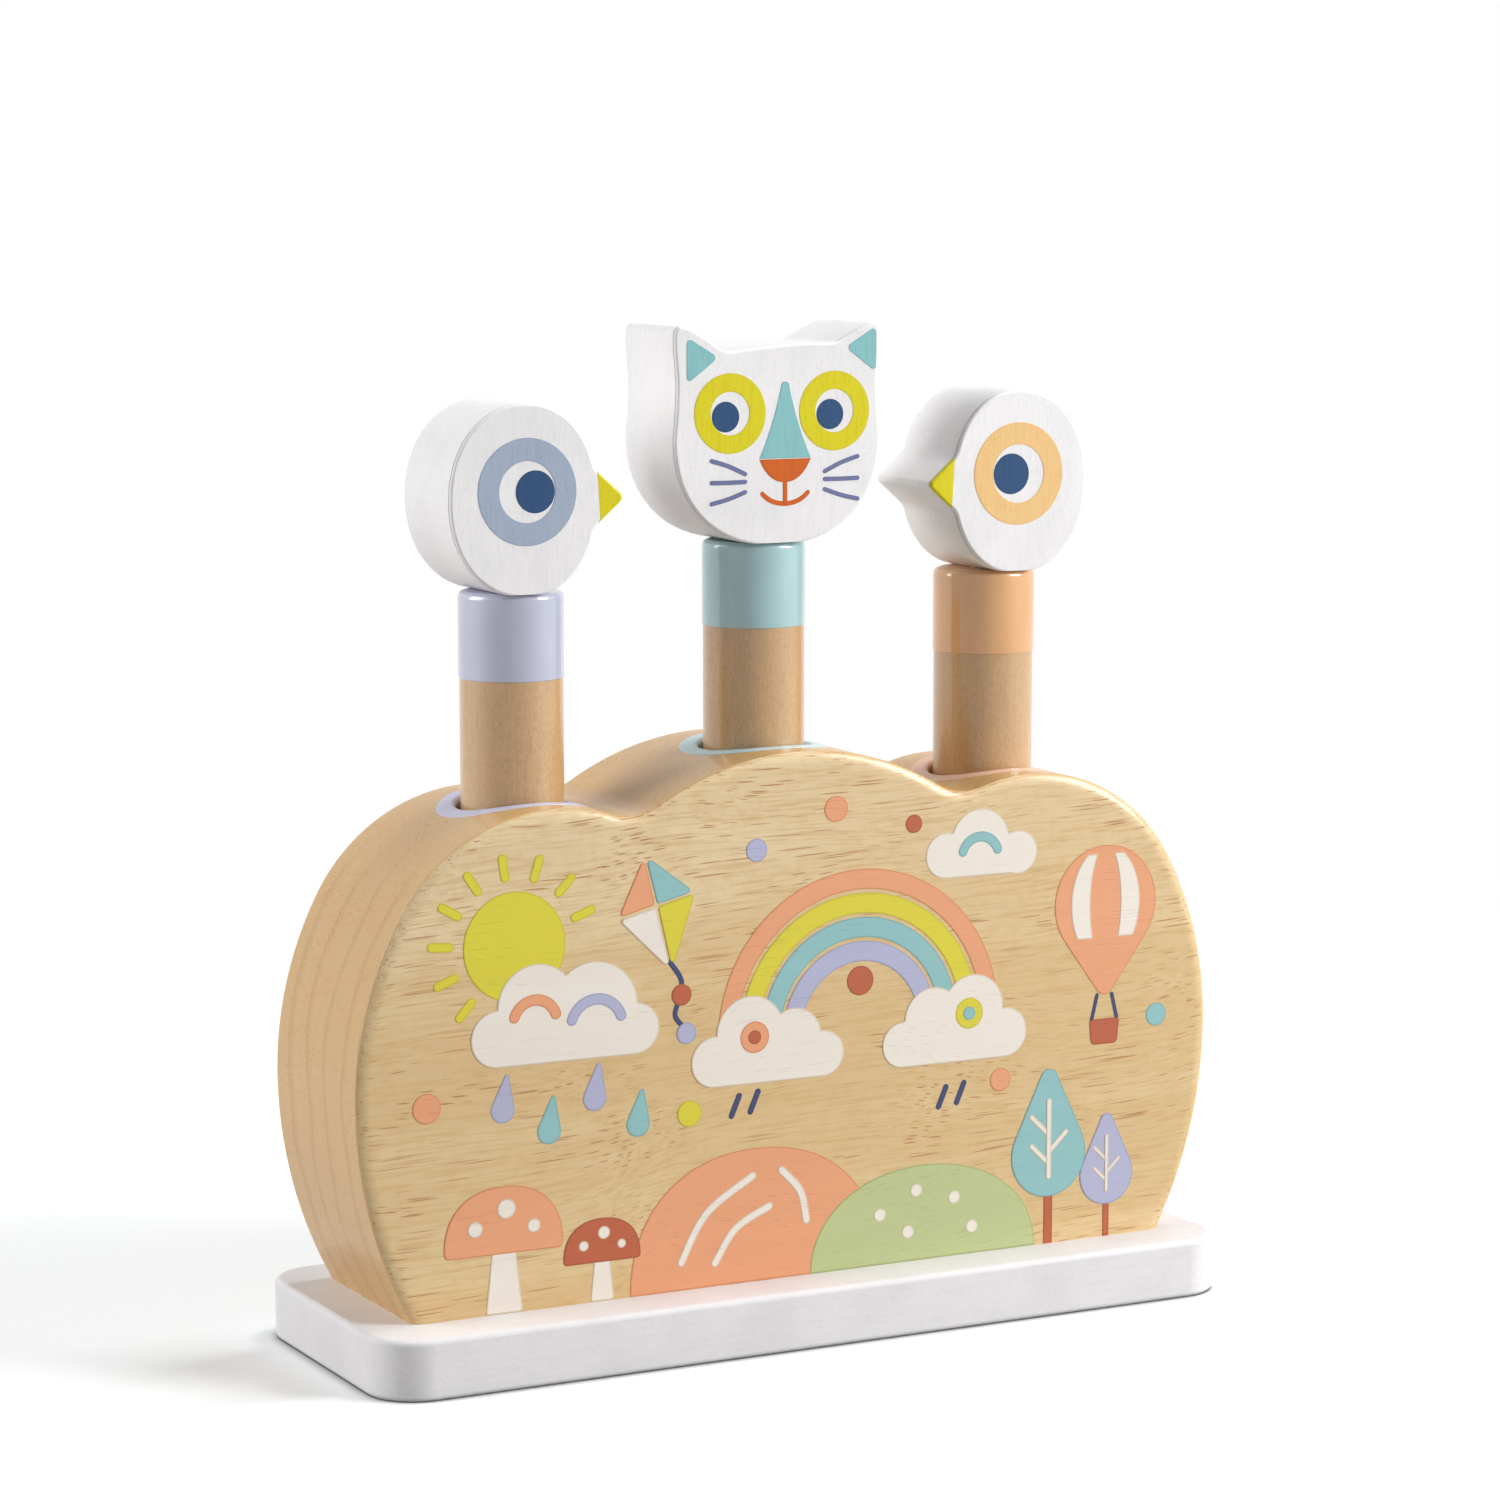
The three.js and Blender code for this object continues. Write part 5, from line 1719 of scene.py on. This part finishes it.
@dataclass
class CatHead(Head):
    """A cat's head: a half oval below and two soft ears above, with a printed face."""

    drop: float = 22.9
    half_width: float = 24.4
    chin_power: float = 2.2
    ear_rise: float = 23.3
    outline_shift: float = -0.3
    eye_shift: float = 0.6
    nose_shift: float = 1.25
    eye_spread: float = 12.4
    eye_rise: float = 5.1
    ring_radii: tuple[float, float] = (8.4, 4.55)
    pupil: float = 3.2
    pupil_place: tuple[float, float] = (-1.05, -0.7)
    nose_half: float = 6.1
    nose_top: float = -4.6
    nose_depth: float = 4.9
    nose_knee: float = 0.65
    bridge_top: float = 11.5
    bridge_tip: float = 0.95
    bridge_waist: float = 0.43
    mouth_half: float = 5.4
    mouth_corner: float = -11.8
    mouth_low: float = -14.0
    line: float = 1.0
    gap: float = 0.15
    ear_patch: tuple[Size, ...] = ((22.5, 22.0, 0.8), (15.1, 17.6, 0.9), (22.5, 12.2, 0.7))
    ear_offset: float = 0.8
    whisker: float = 0.95
    whisker_span: tuple[float, float] = (9.5, 17.4)
    whisker_drops: tuple[Size, ...] = ((7.65, 5.9, 4.7), (9.3, 9.35, 9.3), (11.45, 12.8, 13.7))

    def outline(self) -> Points:
        """A smooth curve over both ears, as shares of the half width and the ears' rise, and an oval chin."""
        side = [
            (1, 0), (0.985, 0.16), (0.976, 0.31), (0.97, 0.49), (0.985, 0.69), (0.995, 0.83), (0.99, 0.94),
            (0.97, 0.985), (0.925, 1), (0.8, 0.955),
        ]  # fmt: skip
        right_crown = [(0.67, 0.89), (0.57, 0.84), (0.46, 0.829), (0.2, 0.83)]
        left_crown = [(0.66, 0.87), (0.56, 0.8), (0.46, 0.773), (0.27, 0.791)]
        right = np.array(side + right_crown)
        left = np.array(side + left_crown)[::-1] * [-1, 1]
        crown = smooth_path(np.vstack([right, left]) * [self.half_width, self.ear_rise], 10)
        chin = oval(self.half_width, self.drop, self.chin_power, math.pi, 2 * math.pi, 80)[1:-1]
        return np.vstack([crown, chin]) + [self.outline_shift, 0]

    def bridge(self) -> Points:
        """The nose's bridge: sides that are parabolas from the nose up to a round tip."""
        tip = self.bridge_top - self.bridge_tip
        waist = (self.nose_half * self.bridge_waist, self.bridge_top / 4)
        side = parabola((self.nose_half, self.nose_top), waist, (self.bridge_tip, tip))
        cap = arc((0, tip), self.bridge_tip, 0, math.pi, 12)[1:-1]
        return np.vstack([side, cap, side[::-1] * [-1, 1]])

    def nose_and_mouth(self) -> list[Points]:
        """The nose, the line below it and the mouth's curve, each side of which is a parabola, mirrored.

        Returns:
            Their outlines.
        """
        low = self.nose_top - self.nose_depth
        knee = (self.nose_half * self.nose_knee, low)
        side = parabola((self.nose_half, self.nose_top), knee, (0, low))
        nose = np.vstack([side, side[-2::-1] * [-1, 1]])
        line = ribbon(np.linspace([0, low + 0.3], [0, self.mouth_low], 5), self.line)
        corner = (self.mouth_half, self.mouth_corner)
        half = parabola((0, self.mouth_low), (self.mouth_half * 0.62, self.mouth_low), corner)
        mouth = ribbon(np.vstack([half[:0:-1] * [-1, 1], half]), self.line)
        return [part - [0, self.gap] for part in (nose, line, mouth)]

    def build(self) -> None:
        """Builds the head and its print."""
        self.board("centre_cat_head_painted", "centre_cat_head")
        muzzle = np.array([self.nose_shift, 0])
        mouth = [part + muzzle for part in self.nose_and_mouth()]
        self.ink(TURQUOISE, "cat_nose_bridge", [self.bridge() + muzzle])
        self.ink(ORANGE, "cat_nose_and_mouth", mouth)
        for hand, sign in (("left", -1), ("right", 1)):
            eye = np.array([self.eye_shift + sign * self.eye_spread, self.eye_rise])
            self.ring(LIME, f"cat_{hand}_eye_ring", eye, self.ring_radii)
            self.ink(NAVY, f"cat_{hand}_pupil", [circle(eye + self.pupil_place, self.pupil)])
            patch = rounded(self.ear_patch) * [sign, 1] + [self.eye_shift, sign * self.ear_offset]
            self.ink(TURQUOISE, f"cat_{hand}_ear_patch", [patch])
            spans = np.linspace(*self.whisker_span, 3) * sign
            for i, drops in enumerate(self.whisker_drops, 1):
                path = smooth_path(np.stack([spans, -np.array(drops)], axis=-1), 6)
                self.ink(VIOLET, f"cat_{hand}_whisker_{i}", [ribbon(path, self.whisker) + muzzle])


def parabola(a: Sequence[float], knee: Sequence[float], b: Sequence[float]) -> Points:
    """A curve from a to b that heads for a knee: (1 - t)^2 a + 2 t (1 - t) knee + t^2 b.

    Args:
        a: its start.
        knee: the point that it bends towards.
        b: its end.

    Returns:
        Its points, both ends included.
    """
    t = np.linspace(0, 1, 17)[:, None]
    return (1 - t) ** 2 * np.array(a) + 2 * t * (1 - t) * np.array(knee) + t**2 * np.array(b)


# The picture on the block's front


class Ink(Enum):
    """The inks of the picture: the colour, what the wood's vessels turn it to, and its rim."""

    CREAM = ("#EFE7DC", "#D5C3AC", "#CDBBA2")
    CORAL = ("#E8A277", "#C67F55", "#CE8350")
    TURQUOISE = ("#8FBFC0", "#729E9C", "#72A3A2")
    GREEN = ("#BBC58D", "#98A06B", "#9CA767")
    LILAC = ("#B3B4D0", "#9291AC", "#9594B4")
    LIME = ("#DCD034", "#B9A92C", "#C0B024")
    RUST = ("#B85C38", "#93462A", "#9C4A2B")
    NAVY = ("#2F3B66", "#252D4C", "#262F52")


@dataclass(frozen=True)
class Patch:
    """One area of the picture: its outline in X and Z, its ink and the layer that it is printed in."""

    outline: Points
    ink: Ink
    layer: int = 0


@dataclass
class Picture:
    """A landscape in flat inks on the block's front: weather above, hills, trees and mushrooms below."""

    front: float = -22.5
    foot: float = 13.0
    layer_lift: float = 0.04

    def sun(self) -> list[Patch]:
        """A sun with short rays behind a cloud with two bows on it, and drops of rain."""
        middle = np.array([-67.0, 90.0])
        turns = np.radians(np.arange(20, 235, 26))
        rays = [
            hull(middle + 14.6 * way, 1.0, middle + 18.6 * way, 1.0, 10)
            for way in np.stack([np.cos(turns), np.sin(turns)], axis=-1)
        ]
        cloud = puffs((-58, 74), [(-71, 71, 6), (-62, 77, 9), (-49, 75.5, 10), (-39.5, 70.5, 5.5)], 65)
        drops = [
            (-70, 56, Ink.LILAC),
            (-59.5, 50.5, Ink.TURQUOISE),
            (-49, 56.5, Ink.LILAC),
            (-39, 50, Ink.TURQUOISE),
        ]
        bows = [((-62.5, 73.5), 5.0, Ink.CORAL), ((-48.5, 71.5), 6.0, Ink.LILAC)]
        return [
            Patch(circle(middle, 11.5), Ink.LIME),
            *(Patch(ray, Ink.LIME) for ray in rays),
            Patch(cloud, Ink.CREAM, 1),
            *(Patch(ribbon(arc(c, radius, 0.35, 2.8, 40), 2.4), ink, 2) for c, radius, ink in bows),
            *(Patch(hull((x, z), 2.7, (x + 1, z + 7), 0.5), ink) for x, z, ink in drops),
        ]

    def rainbow(self) -> list[Patch]:
        """Four bows that end in two clouds, each with a dot in a ring."""
        inks = [Ink.CORAL, Ink.LIME, Ink.TURQUOISE, Ink.LILAC]
        middle = np.array([14.0, 66.0])
        bows = [
            Patch(ribbon(arc(middle, 32 - 5.2 * i, -0.05, math.pi + 0.05, 60), 4.4), ink)
            for i, ink in enumerate(inks)
        ]
        left = puffs((-9, 64), [(-21, 61.5, 5.5), (-12.5, 67, 8), (-2, 65, 6.5), (5, 61, 5)], 56)
        right = puffs((37, 64), [(24.5, 61, 5), (32, 66, 7), (42, 67.5, 7.5), (50, 61.5, 5.5)], 56)
        patches = [*bows, Patch(left, Ink.CREAM, 1), Patch(right, Ink.CREAM, 1)]
        for dot, ink, core in (((-11.5, 66), Ink.CORAL, Ink.RUST), ((41, 66.5), Ink.LIME, Ink.TURQUOISE)):
            patches += [Patch(circle(dot, 3.4), ink, 2), Patch(circle(dot, 1.5), core, 3)]
        return patches

    def balloon(self) -> list[Patch]:
        """A balloon with upright stripes, two ropes and a basket."""
        x, top, throat = 75.5, 88.0, 70.0
        shell = hull((0, top), 13.0, (0, throat), 2.4, 40)
        side = shell[shell[:, 0] > 0.01]
        side = side[np.argsort(side[:, 1])]
        side = side[(side[:, 1] > throat) & (side[:, 1] < top + 11.6)]
        stripe = np.vstack([side * [0.68, 1], (side * [0.3, 1])[::-1]])
        stripes = [Patch(stripe * [sign, 1] + [x, 0], Ink.CREAM, 1) for sign in (-1, 1)]
        basket = rounded([(-3.4, 56.5, 1.3), (3.4, 56.5, 1.3), (3.9, 62.2, 0.6), (-3.9, 62.2, 0.6)]) + [x, 0]
        ropes = [ribbon(np.linspace([x + s * 1.9, 67.6], [x + s * 3.2, 62.3], 5), 0.9) for s in (-1, 1)]
        patches = [Patch(shell + [x, 0], Ink.CORAL), *stripes, Patch(basket, Ink.RUST)]
        return patches + [Patch(rope, Ink.NAVY) for rope in ropes]

    def kite(self) -> list[Patch]:
        """A kite of four fields, with a wavy tail and two balls on it."""
        corners = np.array([(9.5, 0), (0, 11.5), (-9.5, 0), (0, -15)], float)
        inks = [Ink.TURQUOISE, Ink.CORAL, Ink.CREAM, Ink.LIME]
        tilt = math.radians(14)
        turn = np.array([[math.cos(tilt), math.sin(tilt)], [-math.sin(tilt), math.cos(tilt)]])
        place = np.array([-34.5, 96.0])
        fields = []
        for i, ink in enumerate(inks):
            field = inward(np.array([(0, 0), corners[i], corners[(i + 1) % 4]]), 0.3)
            soft = rounded([(x, z, 0.7) for x, z in field])
            fields.append(Patch(soft @ turn + place, ink, 1))
        tail = smooth_path([(0, -12.5), (1.6, -17), (0.4, -20.5), (-1.6, -24), (0, -27.5)]) @ turn + place
        knots = [((0.9, -20.2), Ink.RUST), ((0, -28.5), Ink.LILAC)]
        balls = [Patch(circle(knot @ turn + place, 2.3, 40), ink, 1) for knot, ink in knots]
        return [Patch(ribbon(tail, 1.1), Ink.NAVY), *fields, *balls]

    def high_cloud(self) -> list[Patch]:
        """A small cloud beside the balloon, with a bow on it."""
        cloud = puffs((45, 103), [(35, 101.5, 5), (43.5, 104, 7.2), (53, 101, 4.8)], 96.5)
        bow = ribbon(arc((43.5, 100.5), 4.6, 0.35, 2.8, 40), 2.2)
        return [Patch(cloud, Ink.CREAM), Patch(bow, Ink.TURQUOISE, 1)]

    def hills(self) -> list[Patch]:
        """Two hills that stand on the board, one with cream lines along its slope."""
        foot = self.foot
        coral = oval(30, 29, 2.2, 0, math.pi, 80) + [-11, foot]
        green = oval(28, 21, 2.1, 0, math.pi, 80) + [30, foot]
        lines = [
            ribbon(smooth_path([(-29, foot + 6), (-23, foot + 16), (-12, foot + 23)]), 1.8),
            ribbon(smooth_path([(-21, foot + 5), (-16, foot + 12), (-8, foot + 16)]), 1.8),
            ribbon(smooth_path([(-5, foot + 23.5), (-0.5, foot + 18.5), (1, foot + 12)]), 1.8),
        ]
        dots = [(19, 24), (28, 28.5), (37.5, 26), (26, 19.5), (42, 19)]
        return [
            Patch(coral, Ink.CORAL),
            *(Patch(line, Ink.CREAM, 1) for line in lines),
            Patch(green, Ink.GREEN, 1),
            *(Patch(circle(dot, 1.5, 32), Ink.CREAM, 2) for dot in dots),
        ]

    def trees(self) -> list[Patch]:
        """Trees like upright leaves, with a trunk and branches of cream lines."""
        patches = []
        trees = [(61.5, 33.0, 1.0, Ink.TURQUOISE), (76.5, 27.0, 0.72, Ink.LILAC)]
        for x, low, size, ink in trees:
            crown = hull((x, low), 9.5 * size, (x, low + 17 * size), 2.2 * size)
            trunk = ribbon(np.linspace([x, self.foot], [x, low], 5), 2.2 * size)
            stem = ribbon(np.linspace([x, low - 5 * size], [x, low + 12 * size], 5), 1.3 * size)
            twigs = []
            for sign, z in ((-1, -2), (1, 0.5), (-1, 4.5)):
                fork = np.array([x, low + z * size])
                end = fork + np.array([sign * 4.4, 4.2]) * size
                twigs.append(ribbon(np.linspace(fork, end, 5), 1.2 * size))
            patches += [Patch(trunk, Ink.RUST), Patch(crown, ink, 1), Patch(stem, Ink.CREAM, 3)]
            patches += [Patch(twig, Ink.CREAM, 2) for twig in twigs]
        return patches

    def mushrooms(self) -> list[Patch]:
        """Two mushrooms, each with a spotted cap on a stem that widens downwards."""
        patches = []
        for x, size, ink in ((-70.0, 1.0, Ink.CORAL), (-47.5, 0.66, Ink.RUST)):
            low = self.foot + 14 * size
            half = 4.2 * size
            stem = rounded([
                (x - half, self.foot, 0.7),
                (x + half, self.foot, 0.7),
                (x + half * 0.6, low + 1, 0.7),
                (x - half * 0.6, low + 1, 0.7),
            ])
            dome = oval(13.5 * size, 13 * size, 2.3, 0, math.pi, 60)
            brim = arc((-12.2 * size, 0), 1.3 * size, math.pi, 1.5 * math.pi, 6)[1:]
            cap = np.vstack([dome, brim, brim[::-1] * [-1, 1]]) + [x, low]
            spots = [(-6.5, 4.5, 1.7), (0.6, 8.2, 2.1), (6.8, 4, 1.5)]
            patches += [Patch(stem, Ink.CREAM), Patch(cap, ink, 1)]
            for a, b, radius in spots:
                spot = circle((x + a * size, low + b * size), radius * size, 40)
                patches.append(Patch(spot, Ink.CREAM, 2))
        return patches

    def sprinkles(self) -> list[Patch]:
        """Dots and pairs of short strokes that fill the sky and the ground below the clouds."""
        dots = [
            (-11, 106, 2.5, Ink.LILAC),
            (8, 113.5, 2.8, Ink.CORAL),
            (27, 109, 2.0, Ink.RUST),
            (89, 62, 2.6, Ink.TURQUOISE),
            (14, 76, 3.2, Ink.RUST),
            (-87, 58, 3.2, Ink.CORAL),
            (-27, 51, 2.8, Ink.LIME),
            (49, 51, 2.6, Ink.CORAL),
        ]
        feet = [(-17, 49.5), (-12.5, 50), (33.5, 46.5), (38, 47)]
        slant = np.array([3.4 * math.cos(1), 5 * math.sin(1)])
        strokes = [ribbon(np.linspace(foot, foot + slant, 5), 1.3) for foot in feet]
        return [
            *(Patch(circle((x, z), r, 40), ink) for x, z, r, ink in dots),
            *(Patch(stroke, Ink.NAVY) for stroke in strokes),
        ]

    def build(self) -> None:
        """Prints each motif, one piece for each of its inks."""
        sky = (self.sun, self.rainbow, self.balloon, self.kite, self.high_cloud)
        for motif in (*sky, self.hills, self.trees, self.mushrooms, self.sprinkles):
            patches = motif()
            for ink in Ink:
                chosen = [patch for patch in patches if patch.ink is ink]
                if not chosen:
                    continue
                draft = Draft()
                for patch in chosen:
                    Film().area(draft, patch.outline, self.front, patch.layer * self.layer_lift)
                name = ink.name.lower()
                colour, pore, rim = ink.value
                finish = BlockInk(f"{name}_screen_ink", colour, 0.5, pore=pore, rim=rim)
                settle(draft.make(f"print_{motif.__name__}_{name}", finish), "toy_base", None)


# The studio


@dataclass(frozen=True)
class Lamp:
    """A soft white lamp: its name, place and size in metres, and its power in watts."""

    name: str
    place: Size
    size: tuple[float, float]
    power: float

    def build(self, target: Vector) -> None:
        """Hangs the lamp up, facing the toy.

        Args:
            target: what it faces.
        """
        light = bpy.data.lights.new(self.name, "AREA")
        light.shape = "RECTANGLE"
        light.size, light.size_y = self.size
        light.energy = self.power
        lamp = bpy.data.objects.new(self.name, light)
        lamp.location = self.place
        lamp.rotation_euler = (target - lamp.location).to_track_quat("-Z", "Y").to_euler()
        bpy.context.scene.collection.objects.link(lamp)


@dataclass
class Studio:
    """A pale floor, soft lamps and the camera. Angles are degrees and lengths metres."""

    azimuth: float = -27.53
    elevation: float = 8.99
    distance: float = 0.95937
    target: Size = (0.0, 0.0, 0.1)
    lens: float = 106.568
    shift: tuple[float, float] = (-0.00237, 0.07321)
    floor_size: float = 6.0
    floor_glow: float = 0.24
    glow_colour: str = "#F4FBFF"
    floor_near: float = 0.32
    lit_shade: float = 0.42
    seen_shade: float = 0.86
    # The grey of the painted contact shadow under the board's edge
    painted_contact_shadow: float = 0.03
    contact: float = 0.006
    sky: float = 0.14
    lamps: tuple[Lamp, ...] = (
        Lamp("top_softbox", (0.5, 0.05, 1.35), (0.4, 0.4), 8.0),
        Lamp("left_softbox", (-1.3, 0.4, 0.6), (0.9, 1.0), 15.5),
        Lamp("right_softbox", (1.08, -0.85, 0.65), (0.6, 0.7), 24.0),
    )

    def build_camera(self) -> None:
        """Stands the camera where the photographer's stood."""
        azimuth, elevation = math.radians(self.azimuth), math.radians(self.elevation)
        level = math.cos(elevation)
        back = Vector((math.sin(azimuth) * level, -math.cos(azimuth) * level, math.sin(elevation)))
        data = bpy.data.cameras.new("camera")
        data.lens = self.lens
        data.shift_x, data.shift_y = self.shift
        camera = bpy.data.objects.new("camera", data)
        camera.location = Vector(self.target) + back * self.distance
        camera.rotation_euler = (-back).to_track_quat("-Z", "Y").to_euler()
        bpy.context.scene.collection.objects.link(camera)
        bpy.context.scene.camera = camera

    @staticmethod
    def seen(tree: Tree) -> Socket:
        """Whether a ray comes from the camera, a gloss or a clear piece: the largest of the three.

        Args:
            tree: the tree of the floor or the world.

        Returns:
            1 or 0.
        """
        ray = add_node(tree, "ShaderNodeLightPath").outputs
        either = maths(tree, "MAXIMUM", ray["Is Camera Ray"], ray["Is Glossy Ray"])
        return maths(tree, "MAXIMUM", either, ray["Is Transmission Ray"])

    @staticmethod
    def blend(tree: Tree, share: Socket, a: Node, b: Node) -> Node:
        """Mixes two shaders.

        Args:
            tree: the tree that they are in.
            share: how much of the second one shows.
            a: the first shader.
            b: the second shader.

        Returns:
            The mix.
        """
        return add_node(tree, "ShaderNodeMixShader", {0: share, 1: a.outputs[0], 2: b.outputs[0]})

    def build_world(self) -> None:
        """Makes the world white to the eye and a dimmer fill to the toy."""
        world = bpy.data.worlds.new("studio")
        bpy.context.scene.world = world
        world.use_nodes = True
        tree = world.node_tree
        tree.nodes.clear()
        fill = add_node(tree, "ShaderNodeBackground", {"Color": (1, 1, 1, 1), "Strength": self.sky})
        white = add_node(tree, "ShaderNodeBackground", {"Color": (1, 1, 1, 1), "Strength": 1.0})
        mix = self.blend(tree, self.seen(tree), fill, white)
        add_node(tree, "ShaderNodeOutputWorld", {"Surface": mix.outputs[0]})

    def paper(self) -> bpy.types.Material:
        """White studio paper, which looks brighter than the light that it throws on the toy.

        The toy sees grey paper. The eye sees paler paper with a faint cold glow, and a painted contact
        shadow, almost black, in the gap under the board's rounded edge, where an occlusion node finds the
        board near.
        Away from the toy it turns to even white.

        Returns:
            The material.
        """
        material = bpy.data.materials.new("studio_paper")
        material.use_nodes = True
        tree = material.node_tree
        tree.nodes.clear()
        shades = (self.lit_shade, self.seen_shade, self.painted_contact_shadow)
        colours = ({"Color": (shade, shade, shade, 1)} for shade in shades)
        lit, pale, gap = (add_node(tree, "ShaderNodeBsdfDiffuse", colour) for colour in colours)
        inputs = {"Color": linear(self.glow_colour), "Strength": self.floor_glow}
        glow = add_node(tree, "ShaderNodeEmission", inputs)
        seen = add_node(tree, "ShaderNodeAddShader", {0: pale.outputs[0], 1: glow.outputs[0]})
        # Painted contact shadow: the seen paper turns almost black where the occlusion node finds the board
        # near
        open_share = add_node(tree, "ShaderNodeAmbientOcclusion", {"Distance": self.contact}).outputs["AO"]
        inputs = {"Value": open_share, "From Min": 0.3, "From Max": 0.75, "To Min": 0.85, "To Max": 0.0}
        share = add_node(tree, "ShaderNodeMapRange", inputs).outputs["Result"]
        seen = self.blend(tree, share, seen, gap)
        by_eye = self.seen(tree)
        mix = self.blend(tree, by_eye, lit, seen)
        place = add_node(tree, "ShaderNodeTexCoord").outputs["Object"]
        distance = add_node(tree, "ShaderNodeVectorMath", {0: place}, operation="LENGTH").outputs["Value"]
        inputs = {"Value": distance, "From Min": self.floor_near, "From Max": 2 * self.floor_near}
        far = add_node(tree, "ShaderNodeMapRange", inputs, interpolation_type="SMOOTHSTEP").outputs["Result"]
        white = add_node(tree, "ShaderNodeEmission", {"Color": (1, 1, 1, 1), "Strength": 1.0})
        mix = self.blend(tree, maths(tree, "MULTIPLY", far, by_eye), mix, white)
        add_node(tree, "ShaderNodeOutputMaterial", {"Surface": mix.outputs[0]})
        return material

    def build_floor(self) -> None:
        """Lays the floor, which takes the toy's shadow and reads white beside it."""
        half = self.floor_size / 2
        corners = [(-half, -half, 0), (half, -half, 0), (half, half, 0), (-half, half, 0)]
        mesh = bpy.data.meshes.new("floor")
        mesh.from_pydata(corners, [], [(0, 1, 2, 3)])
        mesh.materials.append(self.paper())
        floor = bpy.data.objects.new("floor", mesh)
        bpy.context.scene.collection.objects.link(floor)

    def build(self) -> None:
        """Sets the colour view and builds the studio."""
        bpy.context.scene.view_settings.view_transform = "Standard"
        self.build_camera()
        self.build_world()
        self.build_floor()
        for lamp in self.lamps:
            lamp.build(Vector(self.target))


def finish_nodes(nodes: dict[str, Piece]) -> None:
    """Gives the nodes that stay as they are their finish.

    Args:
        nodes: all nodes by name.
    """
    finishes = {"screw": SCREW_ZINC, "neck_pin": PIN_WOOD}
    for name, node in nodes.items():
        for part, finish in finishes.items():
            if part in name:
                node.data.materials.clear()
                node.data.materials.append(finish.material())
                LOG.info("%s: %s", name, finish.name)


def build_peg(block: CloudBlock, side: Side) -> None:
    """Builds what stands in a bore, from its floor up: spring, peg and head.

    Args:
        block: the block with the bore.
        side: which bore it is.
    """
    x, floor = block.station(side)
    well = SpringWell(side, x, floor)
    well.build()
    peg = Peg(side, x, well.top)
    peg.build()
    if side is Side.CENTRE:
        CatHead(side, x, peg.upper_end).build()
    elif side is Side.LEFT:
        BirdHead(side, x, peg.upper_end).build()
    else:
        BirdHead(side, x, peg.upper_end, facing=-1, ring_ink=PEACH).build()


def main() -> None:
    """Builds the studio, the board, the block, its picture and the pegs."""
    logging.basicConfig(level=logging.INFO, format="%(name)s: %(message)s")
    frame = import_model()
    Studio().build()
    BaseBoard().build()
    block = CloudBlock()
    block.build()
    Picture().build()
    for side in Side:
        build_peg(block, side)
    finish_nodes(frame["nodes"])


if __name__ == "__main__":
    main()
